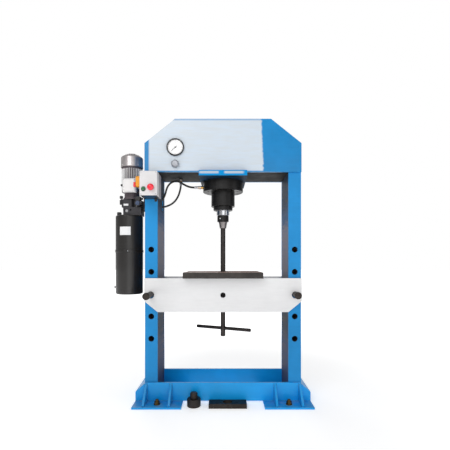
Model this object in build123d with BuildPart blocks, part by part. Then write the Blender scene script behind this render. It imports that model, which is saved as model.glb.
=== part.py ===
"""Motorised workshop press: frame, hydraulic cylinder, bed on pins, power pack, controls and hoses.

Millimetres, +Z up, front towards -Y. The origin is on the floor, under the axis of the ram.
"""
from build123d import *
from math import atan, cos, pi, radians, sin, sqrt, tan
import os

# ------------------------------------------------------------------ driving dimensions
# Frame
press_height = 1808.0
frame_width = 1000.0            # over the flange tips of the two uprights
frame_depth = 280.0             # over the front and rear flanges of an upright
flange_width = 80.0
flange_thickness = 12.0
web_thickness = 9.0
side_plate_thickness = 15.0     # plates of the crown and the base
crown_height = 338.0
crown_top_width = 612.0
crown_side_height = 183.0       # straight side of the crown, below its slope
cover_thickness = 8.0           # folded top and flat bottom of the crown
upright_clearance = 10.0        # upright top below the crown's sloped cover

# Base
foot_plate_thickness = 12.0
foot_plate_depth = 524.0
foot_inner_reach = 165.0        # foot plate inside the inner face of the upright's web
base_overhang = 58.0            # base beyond the flange tips of the uprights
base_top_inset = 9.0            # flat top of the base inside the flange tips
base_height = 128.0
base_end_height = 70.0
rib_thickness = 14.0
rib_reach = 95.0
rib_nose_height = 8.0
rib_insets = (226.0, 68.0)      # from the end of the base
level_screw_inset = 148.0       # from the end of the base
level_screw_y = 210.0
level_screw_radius = 10.0
level_screw_length = 44.0
level_nut_width = 30.0
level_nut_height = 16.0
washer_radius = 20.0
washer_thickness = 4.0
anchor_hole_radius = 9.0
anchor_inset = 228.0            # from the end of the base
anchor_y = 70.0

# Pins and the bed that rests on them
pin_level = 690.0               # level of the row of upright holes that holds the bed
pin_pitch = 143.0
pin_radius = 18.0
pin_clearance = 1.0             # around a pin, in the uprights
pin_tube_wall = 4.0             # tubes that guide a pin from flange to flange
pin_head_step = 4.0             # pin head beyond the pin's radius
pin_head_length = 26.0
pin_length = 494.0
left_pin_reach = 150.0          # how far each pin stands out of the bed, in front
right_pin_reach = 100.0
bed_overhang = 2.0              # bed plate beyond each flange tip
bed_height = 216.0
bed_plate_thickness = 15.0
bed_side_gap = 2.0              # between a bed plate and the upright flange beside it
bed_chamfer_width = 86.0
bed_chamfer_height = 70.0
bed_bottom_below_pin = 113.0
bed_pin_clearance = 4.0         # around a pin, in the bed
bed_rest_gap = 0.3              # over the pins, under the crown of each bed hole
bed_centre_hole_radius = 17.0
bed_end_gap = 7.0               # between the bed's end spacers and the upright webs
spacer_thickness = 15.0
inner_spacer_x = 130.0
spacer_top_gap = 12.0
table_width = 500.0
table_depth = 440.0
table_thickness = 38.0
table_hole_radius = 30.0
loose_gap = 0.3                 # between pieces of different bodies that rest on each other

# Cylinder and ram
mount_plate_width = 303.0
mount_plate_depth = 406.0
mount_plate_thickness = 34.0
barrel_radius = 79.0
bore_radius = 62.5
barrel_clearance = 0.5          # barrel in the mount plate and the crown's bottom plate
cylinder_flange_radius = 135.0
cylinder_flange_height = 70.0
barrel_below_flange = 97.0
barrel_cap_thickness = 30.0
gland_radius = 64.5
gland_face_height = 26.0
gland_spigot_height = 45.0
ram_radius = 42.5
ram_clearance = 0.05
ram_stroke = 150.0
ram_exposed = 34.0              # bright rod below the gland when the ram is up
piston_height = 60.0
piston_clearance = 0.08
piston_seal_height = 12.0
piston_seal_depth = 7.0
gland_seal_height = 8.0
gland_seal_depth = 8.0
seal_clearance = 0.03
stop_gap = 4.0                  # free length at each end of the stroke
spigot_radius = 25.0
ram_collar_radius = 38.5
ram_collar_height = 42.0
nose_top_radius = 29.0
nose_tip_radius = 21.5
nose_height = 44.0
nose_shank_height = 18.0
screw_radius = 8.0
screw_head_radius = 12.0
screw_head_height = 16.0
screw_head_clearance = 0.5
screw_engagement = 26.0
screw_circle_radius = 108.0
screw_count = 8

# Bed-lifting rod and its cross bar
rod_radius = 16.0
rod_bottom = 394.0
rod_hole_level = 448.0          # hole that holds the cross bar
rod_hole_pitch = 144.0
rod_hole_count = 5
rod_clearance = 0.3
rod_head_radius = 19.0
rod_head_height = 14.0
bar_radius = 11.0
bar_length = 400.0
bar_clearance = 0.3
bar_angle = -25.0               # direction of the cross bar, about +Z from +X

# Pressure gauge and its shut-off knob, on the crown
gauge_inset = 197.0             # from the left end of the crown
gauge_rise = 155.0              # above the crown's bottom
gauge_bezel_radius = 56.0
gauge_bezel_depth = 16.0
gauge_case_radius = 47.5
gauge_case_depth = 50.0
gauge_window_radius = 48.0
gauge_hole_clearance = 0.5
gauge_dial_depth = 12.0         # dial face below the rim of the bezel
dial_thickness = 1.2
glass_thickness = 2.0
glass_recess = 2.0
needle_length = 38.0
needle_tail = 12.0
needle_width = 4.0
needle_thickness = 1.0
needle_gap = 1.5                # needle above the dial
needle_angle = 225.0            # rest direction of the needle, from +X towards +Z: zero, lower left
spindle_radius = 2.0
spindle_clearance = 0.1
spindle_depth = 8.0             # spindle behind the dial
spindle_end_gap = 2.0
gauge_knob_rise = 47.0          # above the crown's bottom
gauge_knob_radius = 30.0
gauge_knob_depth = 24.0
gauge_stem_radius = 8.0
gauge_stem_length = 40.0
gauge_stem_clearance = 0.1
knob_stand_off = 8.0

# Control box, on the front flange of the left upright
box_overhang = 5.0              # box beyond the flange tip
box_width = 108.0
box_height = 151.0
box_drop = 22.0                 # top of the box below the crown
box_corner_radius = 8.0
box_edge_radius = 5.0
box_housing_depth = 75.0
box_cover_depth = 60.0
box_wall = 3.0
button_ring_radius = 14.5
button_ring_height = 4.0
button_hole_radius = 11.3
button_radius = 11.0
button_travel = 5.0
button_reach = 6.0              # button face in front of its ring
button_stem_length = 22.0
start_inset = 25.0              # buttons from the box's left side and bottom
start_rise = 40.0
stop_inset = 71.0
stop_rise = 48.0
stop_head_fillet = 6.0
stop_head_radius = 20.0
stop_head_height = 14.0
stop_neck_height = 11.0
isolator_y = -196.0
isolator_rise = 83.0
isolator_boss_rise = 101.0
isolator_boss_depth = 38.0
isolator_boss_width = 36.0
isolator_boss_height = 68.0
isolator_boss_corner = 14.0
isolator_boss_edge = 5.0
isolator_grip_inset = 2.0       # grip's ends inside the hub's rim
isolator_hub_radius = 17.0
isolator_hub_height = 4.0
isolator_grip_width = 9.0
isolator_grip_height = 12.0
isolator_shaft_radius = 4.0
isolator_shaft_clearance = 0.1
contactor_size = (60.0, 45.0, 62.0)
contactor_rise = 103.0

# Power pack, left of the left upright
pack_stand_off = 135.0          # axis of the tank beyond the flange tips
motor_stand_off = 117.0         # axis of the motor and the pump
tank_radius = 90.0
tank_bottom_z = 681.0
tank_top_z = 1208.0
tank_wall = 3.0
tank_corner_radius = 10.0
tank_band_z = 960.0
tank_band_height = 18.0
tank_band_depth = 3.0
adapter_size = (120.0, 96.0, 55.0)
adapter_stand_off = 105.0
manifold_width = 83.0
manifold_depth = 84.0
manifold_height = 53.0
manifold_stand_off = 138.5
manifold_seat = 1.0             # raised seat of the motor's bell
manifold_corner = 14.0
valve_width = 45.0
valve_depth = 105.0
valve_height = 44.0
valve_front_y = -20.0
coil_radius = 20.0
coil_length = 55.0
bell_bottom_radius = 36.0
bell_top_radius = 58.0
bell_height = 59.0
motor_height = 157.0
motor_core_radius = 63.0
motor_wall = 5.0
fin_height = 7.0
fin_thickness = 3.0
fin_count = 32
fin_root = 1.0                  # fins sunk into the core
fin_end_gap = 8.0               # plain ends of the core beyond the fins
fan_cover_radius = 73.5
fan_cover_height = 67.0
fan_dome_height = 30.0
fan_cover_wall = 2.0
fan_radius = 60.0
fan_height = 24.0
fan_gap = 10.0                  # fan above the motor's end
fan_shaft_end = 2.0             # shaft beyond the fan
fan_blade_count = 9
fan_blade_thickness = 3.0
shaft_radius = 7.0
shaft_clearance = 0.1
rotor_radius = 38.0
rotor_height = 90.0
pump_radius = 38.0
pump_height = 110.0
terminal_width = 87.0
terminal_depth = 45.0
terminal_height = 90.0
terminal_bottom_z = 1354.0
terminal_chamfer = 10.0
terminal_stand_off = 112.5
terminal_seat = 3.0             # terminal box sunk into the motor's side
relief_stand_off = 190.0
relief_z = 1285.0
relief_boss_radius = 11.0
relief_stem_radius = 5.0
relief_knob_radius = 11.0
relief_knob_height = 22.0
relief_clearance = 0.1
relief_stem_depth = 16.0        # spindle inside the block
relief_stem_rise = 6.0          # free spindle between the block and its knob
filler_stand_off = 204.0
filler_neck_radius = 8.0
filler_neck_height = 5.0        # neck above the tank's top
filler_cap_radius = 15.0
filler_cap_height = 20.0
drain_z = 726.0
drain_radius = 9.0
drain_length = 12.0
bracket_thickness = 8.0
bracket_bottom_z = 1235.0
bracket_top_z = 1330.0
bracket_arm_depth = 60.0
bracket_notch_front = 34.0      # passage for the two hoses, in Y
bracket_notch_rear = 86.0
bracket_notch_depth = 72.0

# Edges
fine_chamfer = 1.5
small_chamfer = 2.0
edge_chamfer = 3.0
large_chamfer = 4.0

# Hoses
hose_radius = 6.5
hose_y = 60.0                   # both hoses cross the upright in this plane
pressure_port_z = 1273.0
return_port_z = 1297.0
fitting_radius = 10.0
fitting_length = 28.0
fitting_seat = 6.0              # depth of a fitting in its port
bulkhead_x = -293.0
bulkhead_rise = 12.0            # bulkhead fitting above the crown's bottom plate
hose_slot_width = 34.0
hose_slot_height = 96.0
hose_slot_z = 1298.0

# Loose tools on the floor in front
punch_x = -181.0
punch_y = -208.0
punch_drum_radius = 42.5
punch_drum_height = 50.0
punch_stem_radius = 23.5
punch_stem_height = 35.0
die_x = 29.0
die_y = -211.5
die_width = 235.0
die_depth = 77.0
die_height = 28.0
die_hole_radius = 29.0

# ------------------------------------------------------------------ derived places
half_width = frame_width / 2
face_y = frame_depth / 2
web_inner_x = half_width - flange_width
base_width = frame_width + 2 * base_overhang
base_top_width = frame_width - 2 * base_top_inset
foot_inner_x = web_inner_x - foot_inner_reach
rib_x_positions = [base_width / 2 - inset for inset in rib_insets]
level_screw_x = base_width / 2 - level_screw_inset
anchor_x = base_width / 2 - anchor_inset
crown_bottom_z = press_height - crown_height
crown_side_top_z = crown_bottom_z + crown_side_height
crown_rise = crown_height - crown_side_height
crown_slope = atan(crown_rise / (half_width - crown_top_width / 2))
cover_drop = cover_thickness / cos(crown_slope)
upright_top_z = crown_side_top_z - cover_drop - upright_clearance
crown_front_y = -(face_y + side_plate_thickness)

pin_level_zs = [pin_level + pin_pitch * row for row in (-2, -1, 0, 1, 2)]
pin_x = half_width - flange_width / 2
pin_hole_radius = pin_radius + pin_clearance
pin_head_radius = pin_radius + pin_head_step
bed_pin_hole_radius = pin_radius + bed_pin_clearance
bed_width = frame_width + 2 * bed_overhang
bed_bottom_z = pin_level - bed_bottom_below_pin
bed_top_z = bed_bottom_z + bed_height
bed_inner_y = face_y + bed_side_gap
bed_outer_y = bed_inner_y + bed_plate_thickness
bed_hole_z = pin_level + pin_radius + bed_rest_gap - bed_pin_hole_radius
table_bottom_z = bed_top_z + loose_gap

mount_plate_bottom_z = crown_bottom_z - mount_plate_thickness
flange_bottom_z = mount_plate_bottom_z - cylinder_flange_height
barrel_bottom_z = flange_bottom_z - barrel_below_flange
return_port_height = flange_bottom_z + cylinder_flange_height / 2
gland_bottom_z = barrel_bottom_z - gland_face_height
gland_top_z = barrel_bottom_z + gland_spigot_height
ram_bottom_z = gland_bottom_z - ram_exposed
piston_bottom_z = gland_top_z + ram_stroke + stop_gap
piston_top_z = piston_bottom_z + piston_height
bore_top_z = piston_top_z + stop_gap
barrel_top_z = bore_top_z + barrel_cap_thickness
collar_bottom_z = ram_bottom_z - ram_collar_height
nose_bottom_z = collar_bottom_z - nose_height
nose_shank_top_z = collar_bottom_z + nose_shank_height
rod_head_bottom_z = nose_bottom_z + nose_height / 2
rod_top_z = rod_head_bottom_z + loose_gap + rod_head_height

gauge_x = -(half_width - gauge_inset)
gauge_z = crown_bottom_z + gauge_rise
gauge_knob_z = crown_bottom_z + gauge_knob_rise
gauge_rim_y = crown_front_y - gauge_bezel_depth
dial_face_y = gauge_rim_y + gauge_dial_depth
box_rear_y = -face_y
box_joint_y = box_rear_y - box_housing_depth
box_front_y = box_joint_y - box_cover_depth
button_ring_y = box_front_y - button_ring_height
box_left_x = -(half_width + box_overhang)
box_bottom_z = crown_bottom_z - box_drop - box_height
box_middle_x = box_left_x + box_width / 2
box_middle_z = box_bottom_z + box_height / 2
start_x = box_left_x + start_inset
start_z = box_bottom_z + start_rise
stop_x = box_left_x + stop_inset
stop_z = box_bottom_z + stop_rise
isolator_z = box_bottom_z + isolator_rise
isolator_boss_z = box_bottom_z + isolator_boss_rise
isolator_face_x = box_left_x - isolator_boss_depth
contactor_z = box_bottom_z + contactor_rise

pack_x = -(half_width + pack_stand_off)
motor_x = -(half_width + motor_stand_off)
adapter_centre_x = -(half_width + adapter_stand_off)
manifold_centre_x = -(half_width + manifold_stand_off)
terminal_x = -(half_width + terminal_stand_off)
relief_x = -(half_width + relief_stand_off)
filler_x = -(half_width + filler_stand_off)
adapter_top_z = tank_top_z + adapter_size[2]
manifold_top_z = adapter_top_z + manifold_height
motor_bottom_z = manifold_top_z + bell_height
motor_top_z = motor_bottom_z + motor_height
fan_cover_top_z = motor_top_z + fan_cover_height
valve_right_x = adapter_centre_x + adapter_size[0] / 2 + 5.0
motor_axis = Axis((motor_x, 0, 0), (0, 0, 1))

# Routes of the two hoses, from the valve to the crown and to the cylinder flange
pressure_hose_route = [
    (-512, 60, 1273), (-455, 60, 1273), (-398, 62, 1280), (-347, 64, 1304),
    (-313, 64, 1348), (-297, 62, 1400), (-293, 60, 1432), (-293, 60, 1456),
]
return_hose_route = [
    (-512, 60, 1297), (-464, 60, 1297), (-424, 59, 1320), (-402, 58, 1362),
    (-393, 57, 1402), (-378, 56, 1432), (-354, 52, 1450), (-327, 46, 1456),
    (-299, 38, 1449), (-272, 28, 1430), (-240, 15, 1411), (-205, 0, 1401), (-165, 0, 1401),
]

os.makedirs("parts", exist_ok=True)


def plane_facing_front(y):
    """Sketch plane parallel to XZ at the given Y: sketch x is X, sketch y is Z, extrusion goes to -Y."""
    return Plane.XZ.offset(-y)


def mirrored(values):
    """Each value with both signs, for what stands left and right or front and rear."""
    return [sign * value for value in values for sign in (-1, 1)]


# ------------------------------------------------------------------ frame
def upright(side):
    """One upright: a channel with its web towards the opening, side = -1 left, +1 right."""
    web_middle = side * (web_inner_x + web_thickness / 2)
    with BuildPart() as channel:
        with BuildSketch(Plane.XY.offset(foot_plate_thickness)):
            with Locations((side * (web_inner_x + flange_width / 2), 0)):
                Rectangle(flange_width, frame_depth)
            with Locations((side * (web_inner_x + web_thickness + flange_width / 2), 0)):
                Rectangle(flange_width, frame_depth - 2 * flange_thickness, mode=Mode.SUBTRACT)
        extrude(amount=upright_top_z - foot_plate_thickness)
        with BuildSketch(Plane.XZ):
            with Locations(*[(side * pin_x, z) for z in pin_level_zs]):
                Circle(pin_hole_radius)
        extrude(amount=frame_depth, both=True, mode=Mode.SUBTRACT)
        if side < 0:
            with BuildSketch(Plane.YZ.offset(web_middle)):
                with Locations((hose_y, hose_slot_z)):
                    SlotOverall(hose_slot_height, hose_slot_width, rotation=90)
            extrude(amount=web_thickness, both=True, mode=Mode.SUBTRACT)
    return channel


left_upright = upright(-1)
left_upright.part.label = "left_upright"
export_step(left_upright.part, "parts/left_upright.step")

right_upright = upright(1)
right_upright.part.label = "right_upright"
export_step(right_upright.part, "parts/right_upright.step")


with BuildPart() as pin_tubes:
    with BuildSketch(Plane.XZ):
        with Locations(*[(x, z) for x in mirrored([pin_x]) for z in pin_level_zs]):
            Circle(pin_hole_radius + pin_tube_wall)
            Circle(pin_hole_radius, mode=Mode.SUBTRACT)
    extrude(amount=face_y - flange_thickness, both=True)
pin_tubes.part.label = "pin_tubes"
export_step(pin_tubes.part, "parts/pin_tubes.step")


def crown_outline():
    """Outline of a crown plate: straight sides, then slopes up to a flat top."""
    return [
        (-half_width, crown_bottom_z), (half_width, crown_bottom_z),
        (half_width, crown_side_top_z), (crown_top_width / 2, press_height),
        (-crown_top_width / 2, press_height), (-half_width, crown_side_top_z),
    ]


with BuildPart() as crown_front_plate:
    with BuildSketch(plane_facing_front(-face_y)):
        with BuildLine():
            Polyline(*crown_outline(), close=True)
        make_face()
        with Locations((gauge_x, gauge_z)):
            Circle(gauge_case_radius + gauge_hole_clearance, mode=Mode.SUBTRACT)
        with Locations((gauge_x, gauge_knob_z)):
            Circle(gauge_stem_radius + gauge_stem_clearance, mode=Mode.SUBTRACT)
    extrude(amount=side_plate_thickness)
crown_front_plate.part.label = "crown_front_plate"
export_step(crown_front_plate.part, "parts/crown_front_plate.step")

with BuildPart() as crown_rear_plate:
    with BuildSketch(plane_facing_front(face_y)):
        with BuildLine():
            Polyline(*crown_outline(), close=True)
        make_face()
    extrude(amount=-side_plate_thickness)
crown_rear_plate.part.label = "crown_rear_plate"
export_step(crown_rear_plate.part, "parts/crown_rear_plate.step")

with BuildPart() as crown_top_plate:
    inner_corner_x = crown_top_width / 2 - cover_thickness * tan(crown_slope / 2)
    with BuildSketch(plane_facing_front(-face_y)):
        with BuildLine():
            Polyline(
                (-half_width, crown_side_top_z), (-crown_top_width / 2, press_height),
                (crown_top_width / 2, press_height), (half_width, crown_side_top_z),
                (half_width, crown_side_top_z - cover_drop),
                (inner_corner_x, press_height - cover_thickness),
                (-inner_corner_x, press_height - cover_thickness),
                (-half_width, crown_side_top_z - cover_drop),
                close=True,
            )
        make_face()
    extrude(amount=-frame_depth)
crown_top_plate.part.label = "crown_top_plate"
export_step(crown_top_plate.part, "parts/crown_top_plate.step")

with BuildPart() as crown_bottom_plate:
    with BuildSketch(Plane.XY.offset(crown_bottom_z)):
        Rectangle(2 * web_inner_x, frame_depth)
        Circle(barrel_radius + barrel_clearance, mode=Mode.SUBTRACT)
        with Locations((bulkhead_x, hose_y)):
            Circle(fitting_radius, mode=Mode.SUBTRACT)
    extrude(amount=cover_thickness)
crown_bottom_plate.part.label = "crown_bottom_plate"
export_step(crown_bottom_plate.part, "parts/crown_bottom_plate.step")

with BuildPart() as cylinder_mount_plate:
    with BuildSketch(Plane.XY.offset(mount_plate_bottom_z)):
        Rectangle(mount_plate_width, mount_plate_depth)
        Circle(barrel_radius + barrel_clearance, mode=Mode.SUBTRACT)
        with PolarLocations(screw_circle_radius, screw_count, start_angle=180 / screw_count):
            Circle(screw_radius, mode=Mode.SUBTRACT)
    extrude(amount=mount_plate_thickness)
cylinder_mount_plate.part.label = "cylinder_mount_plate"
export_step(cylinder_mount_plate.part, "parts/cylinder_mount_plate.step")


# ------------------------------------------------------------------ base
with BuildPart() as base_beams:
    for y, depth in ((-face_y, side_plate_thickness), (face_y, -side_plate_thickness)):
        with BuildSketch(plane_facing_front(y)):
            with BuildLine():
                Polyline(
                    (-base_width / 2, foot_plate_thickness), (base_width / 2, foot_plate_thickness),
                    (base_width / 2, base_end_height), (base_top_width / 2, base_height),
                    (-base_top_width / 2, base_height), (-base_width / 2, base_end_height),
                    close=True,
                )
            make_face()
        extrude(amount=depth)
base_beams.part.label = "base_beams"
export_step(base_beams.part, "parts/base_beams.step")

with BuildPart() as base_end_plates:
    base_slope = atan((base_height - base_end_height) / ((base_width - base_top_width) / 2))
    end_drop = cover_thickness / cos(base_slope)
    end_inner_x = base_width / 2 - cover_thickness
    top_inner_x = base_width / 2 - (base_height - base_end_height) / tan(base_slope)
    with BuildSketch(plane_facing_front(-face_y)):
        for side in (-1, 1):
            with BuildLine():
                Polyline(
                    (side * base_width / 2, foot_plate_thickness),
                    (side * base_width / 2, base_end_height),
                    (side * top_inner_x, base_height),
                    (side * top_inner_x, base_height - end_drop),
                    (side * end_inner_x, base_end_height - end_drop + cover_thickness * tan(base_slope)),
                    (side * end_inner_x, foot_plate_thickness),
                    close=True,
                )
            make_face()
    extrude(amount=-frame_depth)
    # the flanges and web of each upright pass inside the end plates
    with BuildSketch(Plane.XY.offset(foot_plate_thickness)):
        with Locations(*[(x, 0) for x in mirrored([web_inner_x + flange_width / 2])]):
            Rectangle(flange_width, frame_depth)
    extrude(amount=base_height, mode=Mode.SUBTRACT)
base_end_plates.part.label = "base_end_plates"
export_step(base_end_plates.part, "parts/base_end_plates.step")

level_places = [(x, y) for x in mirrored([level_screw_x]) for y in mirrored([level_screw_y])]

with BuildPart() as foot_plates:
    foot_length = base_width / 2 - foot_inner_x
    with BuildSketch():
        with Locations(*[(x, 0) for x in mirrored([foot_inner_x + foot_length / 2])]):
            Rectangle(foot_length, foot_plate_depth)
        with Locations(*level_places):
            Circle(level_screw_radius, mode=Mode.SUBTRACT)
        with Locations(*[(x, y) for x in mirrored([anchor_x]) for y in mirrored([anchor_y])]):
            Circle(anchor_hole_radius, mode=Mode.SUBTRACT)
    extrude(amount=foot_plate_thickness)
foot_plates.part.label = "foot_plates"
export_step(foot_plates.part, "parts/foot_plates.step")

with BuildPart() as foot_ribs:
    beam_outer_y = face_y + side_plate_thickness
    for x in mirrored(rib_x_positions):
        for side in (-1, 1):
            with BuildSketch(Plane.YZ.offset(x - rib_thickness / 2)):
                with BuildLine():
                    Polyline(
                        (side * beam_outer_y, foot_plate_thickness),
                        (side * (beam_outer_y + rib_reach), foot_plate_thickness),
                        (side * (beam_outer_y + rib_reach), foot_plate_thickness + rib_nose_height),
                        (side * beam_outer_y, base_height - rib_nose_height),
                        close=True,
                    )
                make_face()
            extrude(amount=rib_thickness)
foot_ribs.part.label = "foot_ribs"
export_step(foot_ribs.part, "parts/foot_ribs.step")

with BuildPart() as levelling_screws:
    with BuildSketch():
        with Locations(*level_places):
            Circle(level_screw_radius)
    extrude(amount=level_screw_length)
    chamfer(levelling_screws.faces().group_by(Axis.Z)[-1].edges(), length=fine_chamfer)
levelling_screws.part.label = "levelling_screws"
export_step(levelling_screws.part, "parts/levelling_screws.step")

with BuildPart() as levelling_nuts:
    with BuildSketch(Plane.XY.offset(foot_plate_thickness)):
        with Locations(*level_places):
            Circle(washer_radius)
            Circle(level_screw_radius, mode=Mode.SUBTRACT)
    extrude(amount=washer_thickness)
    with BuildSketch(Plane.XY.offset(foot_plate_thickness + washer_thickness)):
        with Locations(*level_places):
            RegularPolygon(level_nut_width / 2, 6, major_radius=False)
            Circle(level_screw_radius, mode=Mode.SUBTRACT)
    extrude(amount=level_nut_height)
levelling_nuts.part.label = "levelling_nuts"
export_step(levelling_nuts.part, "parts/levelling_nuts.step")

# ------------------------------------------------------------------ cylinder
with BuildPart() as cylinder_barrel:
    with BuildSketch(Plane.XY.offset(barrel_bottom_z)):
        Circle(barrel_radius)
    extrude(amount=barrel_top_z - barrel_bottom_z)
    with BuildSketch(Plane.XY.offset(barrel_bottom_z)):
        Circle(bore_radius)
    extrude(amount=bore_top_z - barrel_bottom_z, mode=Mode.SUBTRACT)
    chamfer(cylinder_barrel.faces().sort_by(Axis.Z)[-1].edges(), length=large_chamfer)
cylinder_barrel.part.label = "cylinder_barrel"
export_step(cylinder_barrel.part, "parts/cylinder_barrel.step")

with BuildPart() as cylinder_flange:
    with BuildSketch(Plane.XY.offset(flange_bottom_z)):
        Circle(cylinder_flange_radius)
        Circle(barrel_radius, mode=Mode.SUBTRACT)
    extrude(amount=cylinder_flange_height)
    chamfer(cylinder_flange.edges().filter_by(GeomType.CIRCLE).group_by(SortBy.RADIUS)[-1], length=edge_chamfer)
    with BuildSketch(Plane.XY.offset(flange_bottom_z)):
        with PolarLocations(screw_circle_radius, screw_count, start_angle=180 / screw_count):
            Circle(screw_radius)
    extrude(amount=cylinder_flange_height, mode=Mode.SUBTRACT)
    with BuildSketch(Plane.XY.offset(flange_bottom_z)):
        with PolarLocations(screw_circle_radius, screw_count, start_angle=180 / screw_count):
            Circle(screw_head_radius + screw_head_clearance)
    extrude(amount=screw_head_height, mode=Mode.SUBTRACT)
    with BuildSketch(Plane.YZ.offset(-cylinder_flange_radius - fitting_seat)):
        with Locations((0, return_port_height)):
            Circle(fitting_radius)
    extrude(amount=2 * fitting_seat, mode=Mode.SUBTRACT)
cylinder_flange.part.label = "cylinder_flange"
export_step(cylinder_flange.part, "parts/cylinder_flange.step")

with BuildPart() as cylinder_screws:
    with BuildSketch(Plane.XY.offset(flange_bottom_z)):
        with PolarLocations(screw_circle_radius, screw_count, start_angle=180 / screw_count):
            Circle(screw_head_radius)
    extrude(amount=screw_head_height)
    with BuildSketch(Plane.XY.offset(flange_bottom_z + screw_head_height)):
        with PolarLocations(screw_circle_radius, screw_count, start_angle=180 / screw_count):
            Circle(screw_radius)
    extrude(amount=cylinder_flange_height - screw_head_height + screw_engagement)
    with BuildSketch(Plane.XY.offset(flange_bottom_z)):
        with PolarLocations(screw_circle_radius, screw_count, start_angle=180 / screw_count):
            RegularPolygon(screw_head_radius / 2, 6)
    extrude(amount=screw_head_height / 2, mode=Mode.SUBTRACT)
cylinder_screws.part.label = "cylinder_screws"
export_step(cylinder_screws.part, "parts/cylinder_screws.step")

gland_seal_z = barrel_bottom_z + gland_spigot_height / 2
gland_bore_radius = ram_radius + ram_clearance

with BuildPart() as cylinder_gland:
    with BuildSketch(Plane.XY.offset(gland_bottom_z)):
        Circle(gland_radius)
    extrude(amount=gland_face_height)
    chamfer(cylinder_gland.faces().sort_by(Axis.Z)[0].edges(), length=edge_chamfer)
    with BuildSketch(Plane.XY.offset(barrel_bottom_z)):
        Circle(bore_radius)
    extrude(amount=gland_spigot_height)
    with BuildSketch(Plane.XY.offset(gland_bottom_z)):
        Circle(gland_bore_radius)
    extrude(amount=gland_face_height + gland_spigot_height, mode=Mode.SUBTRACT)
    with BuildSketch(Plane.XY.offset(gland_seal_z)):
        Circle(gland_bore_radius + gland_seal_depth)
    extrude(amount=gland_seal_height, mode=Mode.SUBTRACT)
cylinder_gland.part.label = "cylinder_gland"
export_step(cylinder_gland.part, "parts/cylinder_gland.step")

with BuildPart() as gland_seal:
    with BuildSketch(Plane.XY.offset(gland_seal_z)):
        Circle(gland_bore_radius + gland_seal_depth)
        Circle(ram_radius + seal_clearance, mode=Mode.SUBTRACT)
    extrude(amount=gland_seal_height)
gland_seal.part.label = "gland_seal"
export_step(gland_seal.part, "parts/gland_seal.step")

piston_radius = bore_radius - piston_clearance
piston_seal_z = piston_bottom_z + (piston_height - piston_seal_height) / 2

with BuildPart() as piston:
    with BuildSketch(Plane.XY.offset(piston_bottom_z)):
        Circle(piston_radius)
        Circle(spigot_radius, mode=Mode.SUBTRACT)
    extrude(amount=piston_height)
    with BuildSketch(Plane.XY.offset(piston_seal_z)):
        Circle(piston_radius)
        Circle(piston_radius - piston_seal_depth, mode=Mode.SUBTRACT)
    extrude(amount=piston_seal_height, mode=Mode.SUBTRACT)
piston.part.label = "piston"
export_step(piston.part, "parts/piston.step")

with BuildPart() as piston_seal:
    with BuildSketch(Plane.XY.offset(piston_seal_z)):
        Circle(bore_radius - seal_clearance)
        Circle(piston_radius - piston_seal_depth, mode=Mode.SUBTRACT)
    extrude(amount=piston_seal_height)
piston_seal.part.label = "piston_seal"
export_step(piston_seal.part, "parts/piston_seal.step")

# ------------------------------------------------------------------ ram, collar and nose
with BuildPart() as ram_rod:
    with BuildSketch(Plane.XY.offset(ram_bottom_z)):
        Circle(ram_radius)
    extrude(amount=piston_bottom_z - ram_bottom_z)
    with BuildSketch(Plane.XY.offset(piston_bottom_z)):
        Circle(spigot_radius)
    extrude(amount=piston_height)
    with BuildSketch(Plane.XY.offset(nose_shank_top_z)):
        Circle(spigot_radius)
    extrude(amount=ram_bottom_z - nose_shank_top_z)
ram_rod.part.label = "ram_rod"
export_step(ram_rod.part, "parts/ram_rod.step")

with BuildPart() as ram_collar:
    with BuildSketch(Plane.XY.offset(collar_bottom_z)):
        Circle(ram_collar_radius)
    extrude(amount=ram_collar_height)
    chamfer(ram_collar.edges(), length=small_chamfer)
    with BuildSketch(Plane.XY.offset(collar_bottom_z)):
        Circle(spigot_radius)
    extrude(amount=ram_collar_height, mode=Mode.SUBTRACT)
ram_collar.part.label = "ram_collar"
export_step(ram_collar.part, "parts/ram_collar.step")

with BuildPart() as ram_nose:
    head_room_radius = rod_head_radius + loose_gap
    with BuildSketch(Plane.XZ):
        with BuildLine():
            Polyline(
                (rod_radius + rod_clearance, nose_bottom_z), (nose_tip_radius, nose_bottom_z),
                (nose_top_radius, collar_bottom_z), (spigot_radius, collar_bottom_z),
                (spigot_radius, nose_shank_top_z), (head_room_radius, nose_shank_top_z),
                (head_room_radius, rod_head_bottom_z), (rod_radius + rod_clearance, rod_head_bottom_z),
                close=True,
            )
        make_face()
    revolve(axis=Axis.Z)
ram_nose.part.label = "ram_nose"
export_step(ram_nose.part, "parts/ram_nose.step")

# ------------------------------------------------------------------ bed-lifting rod and cross bar
bar_direction = (cos(radians(bar_angle)), sin(radians(bar_angle)), 0)


def cross_bar_plane(z):
    """Plane across the cross bar's direction, on the rod's axis at height z."""
    return Plane(origin=(0, 0, z), x_dir=(-bar_direction[1], bar_direction[0], 0), z_dir=bar_direction)


with BuildPart() as lifting_rod:
    with BuildSketch(Plane.XY.offset(rod_bottom)):
        Circle(rod_radius)
    extrude(amount=rod_top_z - rod_bottom)
    chamfer(lifting_rod.faces().sort_by(Axis.Z)[0].edges(), length=edge_chamfer)
    with BuildSketch(Plane.XY.offset(rod_head_bottom_z + loose_gap)):
        Circle(rod_head_radius)
    extrude(amount=rod_head_height)
    for row in range(rod_hole_count):
        with BuildSketch(cross_bar_plane(rod_hole_level + row * rod_hole_pitch)):
            Circle(bar_radius + bar_clearance)
        extrude(amount=2 * rod_radius, both=True, mode=Mode.SUBTRACT)
lifting_rod.part.label = "lifting_rod"
export_step(lifting_rod.part, "parts/lifting_rod.step")

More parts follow.
